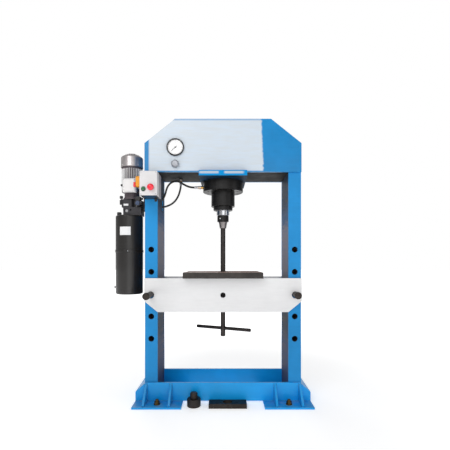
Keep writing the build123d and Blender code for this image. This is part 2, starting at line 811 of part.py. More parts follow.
with BuildPart() as tee_bar:
    with BuildSketch(cross_bar_plane(rod_hole_level)):
        Circle(bar_radius)
    extrude(amount=bar_length / 2, both=True)
    chamfer(tee_bar.edges().filter_by(GeomType.CIRCLE), length=small_chamfer)
tee_bar.part.label = "tee_bar"
export_step(tee_bar.part, "parts/tee_bar.step")


# ------------------------------------------------------------------ bed
def bed_plate(y, depth):
    """One long plate of the bed, from the plane at y, extruded by depth towards -Y."""
    edge = bed_width / 2
    with BuildPart() as plate:
        with BuildSketch(plane_facing_front(y)):
            with BuildLine():
                Polyline(
                    (-edge + bed_chamfer_width, bed_bottom_z), (edge - bed_chamfer_width, bed_bottom_z),
                    (edge, bed_bottom_z + bed_chamfer_height), (edge, bed_top_z),
                    (-edge, bed_top_z), (-edge, bed_bottom_z + bed_chamfer_height),
                    close=True,
                )
            make_face()
            with Locations(*[(x, bed_hole_z) for x in mirrored([pin_x])]):
                Circle(bed_pin_hole_radius, mode=Mode.SUBTRACT)
            with Locations((0, (bed_bottom_z + bed_top_z) / 2)):
                Circle(bed_centre_hole_radius, mode=Mode.SUBTRACT)
        extrude(amount=depth)
    return plate


bed_front_plate = bed_plate(-bed_inner_y, bed_plate_thickness)
bed_front_plate.part.label = "bed_front_plate"
export_step(bed_front_plate.part, "parts/bed_front_plate.step")

bed_rear_plate = bed_plate(bed_inner_y, -bed_plate_thickness)
bed_rear_plate.part.label = "bed_rear_plate"
export_step(bed_rear_plate.part, "parts/bed_rear_plate.step")

with BuildPart() as bed_spacers:
    end_spacer_x = web_inner_x - bed_end_gap - spacer_thickness / 2
    with BuildSketch(Plane.XY.offset(bed_bottom_z + spacer_top_gap)):
        with Locations(*[(x, 0) for x in mirrored([end_spacer_x, inner_spacer_x])]):
            Rectangle(spacer_thickness, 2 * bed_inner_y)
    extrude(amount=bed_height - 2 * spacer_top_gap)
bed_spacers.part.label = "bed_spacers"
export_step(bed_spacers.part, "parts/bed_spacers.step")

with BuildPart() as press_table:
    with BuildSketch(Plane.XY.offset(table_bottom_z)):
        Rectangle(table_width, table_depth)
        Circle(table_hole_radius, mode=Mode.SUBTRACT)
    extrude(amount=table_thickness)
    chamfer(press_table.edges().filter_by(GeomType.LINE).group_by(Axis.Z)[-1], length=small_chamfer)
press_table.part.label = "press_table"
export_step(press_table.part, "parts/press_table.step")


def bed_pin(side, reach):
    """One round bed pin with a head at its front end, side = -1 left, +1 right."""
    front_y = -(bed_outer_y + reach)
    with BuildPart() as pin:
        with BuildSketch(plane_facing_front(front_y)):
            with Locations((side * pin_x, pin_level)):
                Circle(pin_radius)
        extrude(amount=-pin_length)
        chamfer(pin.faces().sort_by(Axis.Y)[-1].edges(), length=large_chamfer)
        with BuildSketch(plane_facing_front(front_y)):
            with Locations((side * pin_x, pin_level)):
                Circle(pin_head_radius)
        extrude(amount=-pin_head_length)
        chamfer(pin.faces().sort_by(Axis.Y)[0].edges(), length=edge_chamfer)
    return pin


left_pin = bed_pin(-1, left_pin_reach)
left_pin.part.label = "left_pin"
export_step(left_pin.part, "parts/left_pin.step")

right_pin = bed_pin(1, right_pin_reach)
right_pin.part.label = "right_pin"
export_step(right_pin.part, "parts/right_pin.step")

# ------------------------------------------------------------------ pressure gauge
with BuildPart() as gauge_case:
    with BuildSketch(plane_facing_front(crown_front_y)):
        with Locations((gauge_x, gauge_z)):
            Circle(gauge_bezel_radius)
    extrude(amount=gauge_bezel_depth)
    chamfer(gauge_case.faces().sort_by(Axis.Y)[0].edges(), length=edge_chamfer)
    with BuildSketch(plane_facing_front(crown_front_y)):
        with Locations((gauge_x, gauge_z)):
            Circle(gauge_case_radius)
    extrude(amount=-gauge_case_depth)
    with BuildSketch(plane_facing_front(gauge_rim_y)):
        with Locations((gauge_x, gauge_z)):
            Circle(gauge_window_radius)
    extrude(amount=-(gauge_dial_depth + dial_thickness), mode=Mode.SUBTRACT)
    with BuildSketch(plane_facing_front(gauge_rim_y)):
        with Locations((gauge_x, gauge_z)):
            Circle(spindle_radius + spindle_clearance)
    extrude(amount=-(gauge_dial_depth + dial_thickness + spindle_depth + spindle_end_gap), mode=Mode.SUBTRACT)
gauge_case.part.label = "gauge_case"
export_step(gauge_case.part, "parts/gauge_case.step")

with BuildPart() as gauge_dial:
    with BuildSketch(plane_facing_front(dial_face_y)):
        with Locations((gauge_x, gauge_z)):
            Circle(gauge_window_radius)
            Circle(spindle_radius + spindle_clearance, mode=Mode.SUBTRACT)
    extrude(amount=-dial_thickness)
gauge_dial.part.label = "gauge_dial"
export_step(gauge_dial.part, "parts/gauge_dial.step")

with BuildPart() as gauge_glass:
    with BuildSketch(plane_facing_front(gauge_rim_y + glass_recess)):
        with Locations((gauge_x, gauge_z)):
            Circle(gauge_window_radius)
    extrude(amount=-glass_thickness)
gauge_glass.part.label = "gauge_glass"
export_step(gauge_glass.part, "parts/gauge_glass.step")

with BuildPart() as gauge_needle:
    with BuildSketch(plane_facing_front(dial_face_y - needle_gap)):
        with Locations((gauge_x, gauge_z)):
            Circle(3 * spindle_radius)
            with Locations(Location((0, 0, 0), (0, 0, needle_angle))):
                with Locations(((needle_length - needle_tail) / 2, 0)):
                    Rectangle(needle_length + needle_tail, needle_width)
    extrude(amount=needle_thickness)
    with BuildSketch(plane_facing_front(dial_face_y - needle_gap)):
        with Locations((gauge_x, gauge_z)):
            Circle(spindle_radius)
    extrude(amount=-(needle_gap + dial_thickness + spindle_depth))
gauge_needle.part.label = "gauge_needle"
export_step(gauge_needle.part, "parts/gauge_needle.step")

with BuildPart() as gauge_knob:
    with BuildSketch(plane_facing_front(crown_front_y - knob_stand_off)):
        with Locations((gauge_x, gauge_knob_z)):
            RegularPolygon(gauge_knob_radius, 6)
    extrude(amount=gauge_knob_depth)
    chamfer(gauge_knob.faces().sort_by(Axis.Y)[0].edges(), length=edge_chamfer)
    with BuildSketch(plane_facing_front(crown_front_y - knob_stand_off)):
        with Locations((gauge_x, gauge_knob_z)):
            Circle(gauge_stem_radius)
    extrude(amount=-gauge_stem_length)
gauge_knob.part.label = "gauge_knob"
export_step(gauge_knob.part, "parts/gauge_knob.step")

# ------------------------------------------------------------------ control box
with BuildPart() as control_box:
    with BuildSketch(plane_facing_front(box_rear_y)):
        with Locations((box_middle_x, box_middle_z)):
            RectangleRounded(box_width, box_height, box_corner_radius)
    extrude(amount=box_housing_depth)
    with BuildSketch(plane_facing_front(box_rear_y - box_wall)):
        with Locations((box_middle_x, box_middle_z)):
            RectangleRounded(
                box_width - 2 * box_wall, box_height - 2 * box_wall, box_corner_radius - box_wall
            )
    extrude(amount=box_housing_depth, mode=Mode.SUBTRACT)
    with BuildSketch(Plane.YZ.offset(box_left_x)):
        with Locations((isolator_y, isolator_boss_z)):
            RectangleRounded(isolator_boss_width, isolator_boss_height, isolator_boss_corner)
    extrude(amount=-isolator_boss_depth)
    fillet(control_box.faces().sort_by(Axis.X)[0].edges(), radius=isolator_boss_edge)
    with BuildSketch(Plane.YZ.offset(isolator_face_x)):
        with Locations((isolator_y, isolator_z)):
            Circle(isolator_shaft_radius + isolator_shaft_clearance)
    extrude(amount=isolator_boss_depth + 2 * box_wall, mode=Mode.SUBTRACT)
control_box.part.label = "control_box"
export_step(control_box.part, "parts/control_box.step")

with BuildPart() as control_box_cover:
    with BuildSketch(plane_facing_front(box_joint_y)):
        with Locations((box_middle_x, box_middle_z)):
            RectangleRounded(box_width, box_height, box_corner_radius)
    extrude(amount=box_cover_depth)
    fillet(control_box_cover.faces().sort_by(Axis.Y)[0].edges(), radius=box_edge_radius)
    with BuildSketch(plane_facing_front(box_joint_y)):
        with Locations((box_middle_x, box_middle_z)):
            RectangleRounded(
                box_width - 2 * box_wall, box_height - 2 * box_wall, box_corner_radius - box_wall
            )
    extrude(amount=box_cover_depth - box_wall, mode=Mode.SUBTRACT)
    with BuildSketch(plane_facing_front(box_front_y)):
        with Locations((start_x, start_z), (stop_x, stop_z)):
            Circle(button_ring_radius)
    extrude(amount=button_ring_height)
    with BuildSketch(plane_facing_front(button_ring_y)):
        with Locations((start_x, start_z), (stop_x, stop_z)):
            Circle(button_hole_radius)
    extrude(amount=-(button_ring_height + 2 * box_wall), mode=Mode.SUBTRACT)
control_box_cover.part.label = "control_box_cover"
export_step(control_box_cover.part, "parts/control_box_cover.step")

with BuildPart() as start_button:
    with BuildSketch(plane_facing_front(button_ring_y - button_reach)):
        with Locations((start_x, start_z)):
            Circle(button_radius)
    extrude(amount=-button_stem_length)
    chamfer(start_button.faces().sort_by(Axis.Y)[0].edges(), length=fine_chamfer)
start_button.part.label = "start_button"
export_step(start_button.part, "parts/start_button.step")

with BuildPart() as stop_button:
    with BuildSketch(plane_facing_front(button_ring_y - stop_neck_height)):
        with Locations((stop_x, stop_z)):
            Circle(stop_head_radius)
    extrude(amount=stop_head_height)
    fillet(stop_button.faces().sort_by(Axis.Y)[0].edges(), radius=stop_head_fillet)
    with BuildSketch(plane_facing_front(button_ring_y - stop_neck_height)):
        with Locations((stop_x, stop_z)):
            Circle(button_radius)
    extrude(amount=-(stop_neck_height + button_stem_length - button_reach))
stop_button.part.label = "stop_button"
export_step(stop_button.part, "parts/stop_button.step")

with BuildPart() as isolator_handle:
    with BuildSketch(Plane.YZ.offset(isolator_face_x - loose_gap)):
        with Locations((isolator_y, isolator_z)):
            Circle(isolator_hub_radius)
    extrude(amount=-isolator_hub_height)
    with BuildSketch(Plane.YZ.offset(isolator_face_x - loose_gap - isolator_hub_height)):
        with Locations((isolator_y, isolator_z)):
            Rectangle(isolator_grip_width, 2 * (isolator_hub_radius - isolator_grip_inset))
    extrude(amount=-isolator_grip_height)
    with BuildSketch(Plane.YZ.offset(isolator_face_x - loose_gap)):
        with Locations((isolator_y, isolator_z)):
            Circle(isolator_shaft_radius)
    extrude(amount=isolator_boss_depth + 4 * box_wall)
isolator_handle.part.label = "isolator_handle"
export_step(isolator_handle.part, "parts/isolator_handle.step")

with BuildPart() as contactor:
    with BuildSketch(plane_facing_front(box_rear_y - box_wall)):
        with Locations((box_middle_x, contactor_z)):
            Rectangle(contactor_size[0], contactor_size[2])
    extrude(amount=contactor_size[1])
contactor.part.label = "contactor"
export_step(contactor.part, "parts/contactor.step")

# ------------------------------------------------------------------ power pack
def rounded_drum(radius, bottom_z, top_z, corner_radius):
    """Half section of a drum with rounded ends, on the tank's axis, for a revolve."""
    with BuildSketch(Plane.XZ) as section:
        with Locations((pack_x + radius / 2, (bottom_z + top_z) / 2)):
            Rectangle(radius, top_z - bottom_z)
        fillet(section.vertices().group_by(Axis.X)[-1], radius=corner_radius)
    return section.sketch


with BuildPart() as oil_tank:
    tank_axis = Axis((pack_x, 0, 0), (0, 0, 1))
    add(rounded_drum(tank_radius, tank_bottom_z, tank_top_z, tank_corner_radius))
    revolve(axis=tank_axis)
    add(rounded_drum(
        tank_radius - tank_wall, tank_bottom_z + tank_wall, tank_top_z - tank_wall, tank_corner_radius - tank_wall
    ))
    revolve(axis=tank_axis, mode=Mode.SUBTRACT)
    with BuildSketch(Plane.XY.offset(tank_band_z)):
        with Locations((pack_x, 0)):
            Circle(tank_radius + tank_band_depth)
            Circle(tank_radius - tank_wall / 2, mode=Mode.SUBTRACT)
    extrude(amount=tank_band_height)
    with BuildSketch(Plane.XY.offset(tank_top_z - tank_wall / 2)):
        with Locations((filler_x, 0)):
            Circle(filler_neck_radius)
    extrude(amount=tank_wall / 2 + filler_neck_height)
    # opening for the pump in the top
    with BuildSketch(Plane.XY.offset(tank_top_z - 2 * tank_wall)):
        with Locations((motor_x, 0)):
            Circle(pump_radius)
    extrude(amount=4 * tank_wall, mode=Mode.SUBTRACT)
oil_tank.part.label = "oil_tank"
export_step(oil_tank.part, "parts/oil_tank.step")

with BuildPart() as gear_pump:
    with BuildSketch(Plane.XY.offset(tank_top_z - pump_height)):
        with Locations((motor_x, 0)):
            Circle(pump_radius)
    extrude(amount=pump_height)
    with BuildSketch(Plane.XY.offset(tank_top_z - pump_height / 2)):
        with Locations((motor_x, 0)):
            Circle(shaft_radius + shaft_clearance)
    extrude(amount=pump_height, mode=Mode.SUBTRACT)
gear_pump.part.label = "gear_pump"
export_step(gear_pump.part, "parts/gear_pump.step")

with BuildPart() as drain_plug:
    with BuildSketch(Plane.YZ.offset(pack_x - tank_radius)):
        with Locations((0, drain_z)):
            RegularPolygon(drain_radius, 6)
    extrude(amount=-drain_length)
drain_plug.part.label = "drain_plug"
export_step(drain_plug.part, "parts/drain_plug.step")

with BuildPart() as manifold_block:
    with BuildSketch(Plane.XY.offset(tank_top_z)):
        with Locations((adapter_centre_x, 0)):
            Rectangle(adapter_size[0], adapter_size[1])
    extrude(amount=adapter_size[2])
    with BuildSketch(Plane.XY.offset(adapter_top_z)):
        with Locations((manifold_centre_x, 0)):
            outline = Rectangle(manifold_width, manifold_depth)
        chamfer(outline.vertices(), length=manifold_corner)
    extrude(amount=manifold_height)
    with BuildSketch(Plane.XY.offset(manifold_top_z)):
        with Locations((motor_x, 0)):
            Circle(bell_bottom_radius)
    extrude(amount=manifold_seat)
    with BuildSketch(Plane.XY.offset(relief_z)):
        with Locations((relief_x, 0)):
            Circle(relief_boss_radius)
    extrude(amount=manifold_top_z - relief_z)
    # shaft passage from the motor down to the pump, and the relief spindle's hole
    with BuildSketch(Plane.XY.offset(tank_top_z)):
        with Locations((motor_x, 0)):
            Circle(shaft_radius + shaft_clearance)
    extrude(amount=manifold_top_z - tank_top_z + manifold_seat, mode=Mode.SUBTRACT)
    with BuildSketch(Plane.XY.offset(manifold_top_z)):
        with Locations((relief_x, 0)):
            Circle(relief_stem_radius + relief_clearance)
    extrude(amount=-(relief_stem_depth + 2 * relief_clearance), mode=Mode.SUBTRACT)
manifold_block.part.label = "manifold_block"
export_step(manifold_block.part, "parts/manifold_block.step")

with BuildPart() as relief_knob:
    with BuildSketch(Plane.XY.offset(manifold_top_z - relief_stem_depth)):
        with Locations((relief_x, 0)):
            Circle(relief_stem_radius)
    extrude(amount=relief_stem_depth + relief_stem_rise)
    with BuildSketch(Plane.XY.offset(manifold_top_z + relief_stem_rise)):
        with Locations((relief_x, 0)):
            Circle(relief_knob_radius)
    extrude(amount=relief_knob_height)
    chamfer(relief_knob.faces().sort_by(Axis.Z)[-1].edges(), length=small_chamfer)
relief_knob.part.label = "relief_knob"
export_step(relief_knob.part, "parts/relief_knob.step")

with BuildPart() as solenoid_valve:
    with BuildSketch(Plane.XY.offset(adapter_top_z)):
        with Locations((valve_right_x - valve_width / 2, valve_front_y + valve_depth / 2)):
            Rectangle(valve_width, valve_depth)
    extrude(amount=valve_height)
    with BuildSketch(plane_facing_front(valve_front_y)):
        with Locations((valve_right_x - valve_width / 2, adapter_top_z + valve_height / 2)):
            Circle(coil_radius)
    extrude(amount=coil_length)
solenoid_valve.part.label = "solenoid_valve"
export_step(solenoid_valve.part, "parts/solenoid_valve.step")

with BuildPart() as filler_cap:
    with BuildSketch(Plane.XY.offset(tank_top_z + filler_neck_height + loose_gap)):
        with Locations((filler_x, 0)):
            Circle(filler_cap_radius)
    extrude(amount=filler_cap_height)
    chamfer(filler_cap.faces().sort_by(Axis.Z)[-1].edges(), length=small_chamfer)
filler_cap.part.label = "filler_cap"
export_step(filler_cap.part, "parts/filler_cap.step")

with BuildPart() as motor_body:
    with BuildSketch(Plane.XZ):
        with BuildLine():
            Polyline(
                (motor_x, manifold_top_z + manifold_seat), (motor_x + bell_bottom_radius, manifold_top_z + manifold_seat),
                (motor_x + bell_top_radius, motor_bottom_z), (motor_x + motor_core_radius, motor_bottom_z),
                (motor_x + motor_core_radius, motor_top_z), (motor_x, motor_top_z), close=True,
            )
        make_face()
    revolve(axis=motor_axis)
    fin_middle = motor_core_radius + (fin_height - fin_root) / 2
    with BuildSketch(Plane.XY.offset(motor_bottom_z + fin_end_gap)):
        with Locations((motor_x, 0)):
            with PolarLocations(fin_middle, fin_count):
                Rectangle(fin_height + fin_root, fin_thickness)
    extrude(amount=motor_height - 2 * fin_end_gap)
    # rotor chamber, and the passage of the shaft at both ends
    with BuildSketch(Plane.XY.offset(motor_bottom_z + 2 * motor_wall)):
        with Locations((motor_x, 0)):
            Circle(motor_core_radius - 4 * motor_wall)
    extrude(amount=motor_height - 4 * motor_wall, mode=Mode.SUBTRACT)
    with BuildSketch(Plane.XY.offset(manifold_top_z)):
        with Locations((motor_x, 0)):
            Circle(shaft_radius + shaft_clearance)
    extrude(amount=motor_top_z - manifold_top_z, mode=Mode.SUBTRACT)
motor_body.part.label = "motor_body"
export_step(motor_body.part, "parts/motor_body.step")

with BuildPart() as motor_rotor:
    shaft_bottom_z = tank_top_z - pump_height / 2 + stop_gap
    fan_bottom_z = motor_top_z + fan_gap
    with BuildSketch(Plane.XY.offset(shaft_bottom_z)):
        with Locations((motor_x, 0)):
            Circle(shaft_radius)
    extrude(amount=fan_bottom_z + fan_height + fan_shaft_end - shaft_bottom_z)
    with BuildSketch(Plane.XY.offset((motor_bottom_z + motor_top_z - rotor_height) / 2)):
        with Locations((motor_x, 0)):
            Circle(rotor_radius)
    extrude(amount=rotor_height)
    with BuildSketch(Plane.XY.offset(fan_bottom_z)):
        with Locations((motor_x, 0)):
            Circle(fan_radius / 3)
            with PolarLocations(0.6 * fan_radius, fan_blade_count):
                Rectangle(0.8 * fan_radius, fan_blade_thickness)
    extrude(amount=fan_height)
motor_rotor.part.label = "motor_rotor"
export_step(motor_rotor.part, "parts/motor_rotor.step")


def domed_drum(radius, straight_top_z, dome_height):
    """Profile of a drum with a shallow domed end, from the motor's top face upwards, for a revolve."""
    sphere_radius = (radius ** 2 + dome_height ** 2) / (2 * dome_height)
    dome_top_z = straight_top_z + dome_height
    middle_z = dome_top_z - sphere_radius + sqrt(sphere_radius ** 2 - (radius / 2) ** 2)
    with BuildSketch(Plane.XZ) as profile:
        with BuildLine():
            Polyline(
                (motor_x, motor_top_z), (motor_x + radius, motor_top_z), (motor_x + radius, straight_top_z)
            )
            ThreePointArc(
                (motor_x + radius, straight_top_z), (motor_x + radius / 2, middle_z), (motor_x, dome_top_z)
            )
            Line((motor_x, dome_top_z), (motor_x, motor_top_z))
        make_face()
    return profile.sketch


with BuildPart() as fan_cover:
    add(domed_drum(fan_cover_radius, fan_cover_top_z, fan_dome_height))
    revolve(axis=motor_axis)
    add(domed_drum(fan_cover_radius - fan_cover_wall, fan_cover_top_z - fan_cover_wall, fan_dome_height))
    revolve(axis=motor_axis, mode=Mode.SUBTRACT)
fan_cover.part.label = "fan_cover"
export_step(fan_cover.part, "parts/fan_cover.step")

with BuildPart() as terminal_box:
    terminal_middle_z = terminal_bottom_z + terminal_height / 2
    terminal_rear_y = -(motor_core_radius - terminal_seat)
    with BuildSketch(plane_facing_front(terminal_rear_y)):
        with Locations((terminal_x, terminal_middle_z)):
            Rectangle(terminal_width, terminal_height)
    extrude(amount=terminal_depth)
    chamfer(terminal_box.faces().sort_by(Axis.Y)[0].edges(), length=terminal_chamfer)
    # saddle that seats on the round motor
    with BuildSketch(Plane.XY.offset(terminal_bottom_z - terminal_chamfer)):
        with Locations((motor_x, 0)):
            Circle(motor_core_radius + fin_height + loose_gap)
    extrude(amount=terminal_height + 2 * terminal_chamfer, mode=Mode.SUBTRACT)
terminal_box.part.label = "terminal_box"
export_step(terminal_box.part, "parts/terminal_box.step")

with BuildPart() as pack_bracket:
    bracket_height = bracket_top_z - bracket_bottom_z
    arm_left_x = adapter_centre_x + adapter_size[0] / 2
    with BuildSketch(Plane.XY.offset(bracket_bottom_z)):
        with Locations((-half_width - bracket_thickness / 2, 0)):
            Rectangle(bracket_thickness, frame_depth)
        with Locations(((arm_left_x - half_width) / 2, -bracket_arm_depth / 4)):
            Rectangle(-half_width - arm_left_x, bracket_arm_depth / 2)
    extrude(amount=bracket_height)
    # the arm ends level with the top of the pump adapter
    with BuildSketch(Plane.XY.offset(adapter_top_z)):
        with Locations(((arm_left_x - half_width - bracket_thickness) / 2, 0)):
            Rectangle(-half_width - bracket_thickness - arm_left_x, frame_depth)
    extrude(amount=bracket_height, mode=Mode.SUBTRACT)
    # notch for the hoses
    with BuildSketch(Plane.YZ.offset(-half_width - 2 * bracket_thickness)):
        with Locations(((bracket_notch_front + bracket_notch_rear) / 2, bracket_top_z)):
            Rectangle(bracket_notch_rear - bracket_notch_front, 2 * bracket_notch_depth)
    extrude(amount=3 * bracket_thickness, mode=Mode.SUBTRACT)
pack_bracket.part.label = "pack_bracket"
export_step(pack_bracket.part, "parts/pack_bracket.step")


# ------------------------------------------------------------------ hoses
def hose(name, route):
    """A round hose along the route: straight runs joined by the largest arcs that the runs allow."""
    points = [Vector(*point) for point in route]
    runs = [end - start for start, end in zip(points, points[1:])]
    radii = []
    for before, after in zip(runs, runs[1:]):
        half_turn = radians(before.get_angle(after)) / 2
        radii.append(0.45 * min(before.length, after.length) / tan(half_turn))
    print(name, "bend radii:", [round(radius) for radius in radii])
    with BuildPart() as tube:
        with BuildLine() as centre_line:
            FilletPolyline(*points, radius=radii)
        with BuildSketch(Plane(origin=points[0], z_dir=runs[0].normalized())):
            Circle(hose_radius)
        sweep()
    section_volume = pi * hose_radius ** 2 * centre_line.wire().length
    print(name, "length", round(centre_line.wire().length, 1), "volume ratio",
          round(tube.part.volume / section_volume, 4))
    return tube


pressure_hose = hose("pressure hose", pressure_hose_route)
pressure_hose.part.label = "pressure_hose"
export_step(pressure_hose.part, "parts/pressure_hose.step")

return_hose = hose("return hose", return_hose_route)
return_hose.part.label = "return_hose"
export_step(return_hose.part, "parts/return_hose.step")

with BuildPart() as hose_fittings:
    bulkhead_bottom_z = pressure_hose_route[-1][2]
    bulkhead_top_z = crown_bottom_z + cover_thickness + bulkhead_rise
    with BuildSketch(Plane.YZ.offset(valve_right_x)):
        with Locations((hose_y, pressure_port_z), (hose_y, return_port_z)):
            Circle(fitting_radius)
    extrude(amount=fitting_length)
    with BuildSketch(Plane.XY.offset(bulkhead_bottom_z)):
        with Locations((bulkhead_x, hose_y)):
            Circle(fitting_radius)
    extrude(amount=bulkhead_top_z - bulkhead_bottom_z)
    with BuildSketch(Plane.YZ.offset(return_hose_route[-1][0])):
        with Locations((0, return_port_height)):
            Circle(fitting_radius)
    extrude(amount=-cylinder_flange_radius + fitting_seat - return_hose_route[-1][0])
hose_fittings.part.label = "hose_fittings"
export_step(hose_fittings.part, "parts/hose_fittings.step")

# ------------------------------------------------------------------ loose tools
with BuildPart() as press_punch:
    with BuildSketch(Plane.XY.offset(loose_gap)):
        with Locations((punch_x, punch_y)):
            Circle(punch_drum_radius)
    extrude(amount=punch_drum_height)
    chamfer(press_punch.edges(), length=edge_chamfer)
    with BuildSketch(Plane.XY.offset(loose_gap + punch_drum_height)):
        with Locations((punch_x, punch_y)):
            Circle(punch_stem_radius)
    extrude(amount=punch_stem_height)
    chamfer(press_punch.faces().sort_by(Axis.Z)[-1].edges(), length=edge_chamfer)
press_punch.part.label = "press_punch"
export_step(press_punch.part, "parts/press_punch.step")

with BuildPart() as die_plate:
    with BuildSketch(Plane.XY.offset(loose_gap)):
        with Locations((die_x, die_y)):
            Rectangle(die_width, die_depth)
            Circle(die_hole_radius, mode=Mode.SUBTRACT)
    extrude(amount=die_height)
    chamfer(die_plate.edges().filter_by(GeomType.LINE).group_by(Axis.Z)[-1], length=fine_chamfer)
die_plate.part.label = "die_plate"
export_step(die_plate.part, "parts/die_plate.step")
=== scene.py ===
"""Looks of a motorised workshop press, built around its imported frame.

The file is laid out as an add-on: one operator for each group of pieces, one for the stage.
Lengths are in metres. +Z is up and the front looks towards -Y.
"""
from functools import cache, reduce
from math import cos, pi, radians, sin, sqrt

import bmesh
import bpy
from bpy.props import FloatProperty, FloatVectorProperty, IntProperty, PointerProperty
from mathutils import Matrix, Vector


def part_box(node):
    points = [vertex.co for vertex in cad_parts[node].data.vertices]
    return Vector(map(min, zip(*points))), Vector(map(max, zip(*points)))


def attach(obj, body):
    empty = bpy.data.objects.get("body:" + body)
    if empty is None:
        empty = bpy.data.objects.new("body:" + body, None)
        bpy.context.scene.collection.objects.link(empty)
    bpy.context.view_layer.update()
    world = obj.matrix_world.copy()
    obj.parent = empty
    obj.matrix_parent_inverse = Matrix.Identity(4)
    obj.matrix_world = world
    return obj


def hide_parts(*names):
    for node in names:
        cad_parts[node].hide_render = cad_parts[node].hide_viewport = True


bl_info = {
    "name": "Workshop press",
    "version": (1, 0, 0),
    "blender": (4, 5, 0),
    "location": "3D View > Sidebar > Press",
    "description": "Finished pieces and materials of a motorised workshop press",
    "category": "Object",
}

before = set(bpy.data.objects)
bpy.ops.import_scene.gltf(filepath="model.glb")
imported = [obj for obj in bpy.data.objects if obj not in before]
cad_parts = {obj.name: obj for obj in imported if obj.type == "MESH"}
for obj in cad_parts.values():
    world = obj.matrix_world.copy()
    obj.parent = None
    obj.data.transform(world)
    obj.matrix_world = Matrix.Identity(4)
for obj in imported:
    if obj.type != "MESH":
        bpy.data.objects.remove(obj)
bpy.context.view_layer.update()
MM = 0.001


def corners(node):
    """Lowest and highest corner of a CAD node's box."""
    return [Vector(corner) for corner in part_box(node)]


def middle(node):
    """Centre of a CAD node's box."""
    low, high = corners(node)
    return (low + high) / 2


def linear(red, green, blue):
    """A display colour from 0 to 255 as linear light, with full alpha."""
    return tuple((channel / 255) ** 2.2 for channel in (red, green, blue)) + (1.0,)


# ------------------------------------------------------------------ settings
def length_setting(name, description, default):
    """A length property."""
    return FloatProperty(name=name, description=description, default=default, min=0.0, unit="LENGTH")


def colour_setting(name, description, *channels):
    """A colour property, its default given from 0 to 255."""
    return FloatVectorProperty(name=name, description=description, subtype="COLOR", size=4,
                               default=linear(*channels), min=0, max=1)


class PressSizes(bpy.types.PropertyGroup):
    """Sizes that are not set by the frame."""

    plate_edge: length_setting("Plate edge", "Rounding of the edges of thick plates", 1.6 * MM)
    small_edge: length_setting("Small edge", "Rounding of the edges of small parts", 0.8 * MM)
    weld_radius: length_setting("Weld radius", "Size of the fillet welds of the frame", 4.5 * MM)
    hose_diameter: length_setting("Hose diameter", "Outer diameter of the hydraulic hoses", 13 * MM)
    eye_height: length_setting("Eye height", "Height of the camera above the floor", 0.896)
    eye_distance: length_setting("Eye distance", "Camera distance in front of the ram's axis", 2.454)
    fin_count: IntProperty(
        name="Motor fins", description="Cooling fins around the motor", default=36, min=8, max=72,
    )


class PressColours(bpy.types.PropertyGroup):
    """Colours of the paints and plastics."""

    blue: colour_setting("Blue paint", "Main paint of the frame", 6, 130, 194)
    # pale: colour of the painted glare on the crown's front and on the mount plate's front edge
    pale: colour_setting("Painted glare", "Painted glare on the front of the crown and the mount plate", 198, 206, 213)
    bed: colour_setting("Bed paint", "Light grey paint of the bed plates", 218, 218, 219)
    black: colour_setting("Black paint", "Paint of the cylinder and the tank", 26, 25, 25)
    table: colour_setting("Table top", "Brown tone of the oiled table top", 150, 122, 112)
    cover: colour_setting("Box cover", "Cover of the control box", 207, 205, 206)


# ------------------------------------------------------------------ shader groups
def new_group(name, inputs, *outputs):
    """An empty shader node group with number sockets. Returns the group, its input and output nodes."""
    group = bpy.data.node_groups.new(name, "ShaderNodeTree")
    for key, value in inputs.items():
        group.interface.new_socket(key, in_out="INPUT", socket_type="NodeSocketFloat").default_value = value
    for key in outputs:
        group.interface.new_socket(key, in_out="OUTPUT", socket_type="NodeSocketFloat")
    return group, group.nodes.new("NodeGroupInput"), group.nodes.new("NodeGroupOutput")


def link(tree, value, socket):
    """Gives a socket its value: an output socket, a number or a colour."""
    if hasattr(value, "links"):
        tree.links.new(value, socket)
    else:
        socket.default_value = value


def add_node(tree, kind, settings=(), **inputs):
    """A node with its settings and the values of its inputs. Underscores in an input's name stand for spaces."""
    node = tree.nodes.new(kind)
    for key, value in dict(settings).items():
        setattr(node, key, value)
    for key, value in inputs.items():
        link(tree, value, node.inputs[key.replace("_", " ")])
    return node


def maths(tree, operation, *values, clamp=False):
    """A math node's result: each value is a number or an output socket."""
    node = add_node(tree, "ShaderNodeMath", {"operation": operation, "use_clamp": clamp})
    for socket, value in zip(node.inputs, values):
        link(tree, value, socket)
    return node.outputs[0]


def times(tree, *values):
    """Product of values."""
    return reduce(lambda first, second: maths(tree, "MULTIPLY", first, second), values)


def inverse(tree, value):
    """One minus a value."""
    return maths(tree, "SUBTRACT", 1.0, value)


def ramp(tree, value, low, high):
    """Smooth step of a value between two limits, from 0 to 1."""
    return add_node(tree, "ShaderNodeMapRange", {"interpolation_type": "SMOOTHSTEP"}, Value=value, From_Min=low,
                    From_Max=high).outputs["Result"]


def noise(tree, vector, scale, detail=3.0, roughness=0.55):
    """A noise texture's factor."""
    return add_node(tree, "ShaderNodeTexNoise", Vector=vector, Scale=scale, Detail=detail,
                    Roughness=roughness).outputs["Fac"]


def stretched(tree, vector, factors):
    """The vector scaled by three factors, for streaks."""
    return add_node(tree, "ShaderNodeMapping", Vector=vector, Scale=factors).outputs["Vector"]


def position_in(tree):
    """Socket of the object coordinates."""
    return tree.nodes.new("ShaderNodeTexCoord").outputs["Object"]


def parts_of(tree, vector):
    """The three numbers of a vector socket."""
    return add_node(tree, "ShaderNodeSeparateXYZ", Vector=vector).outputs[:]


def normal_parts(tree):
    """The three numbers of the face's normal."""
    return parts_of(tree, tree.nodes.new("ShaderNodeNewGeometry").outputs["Normal"])


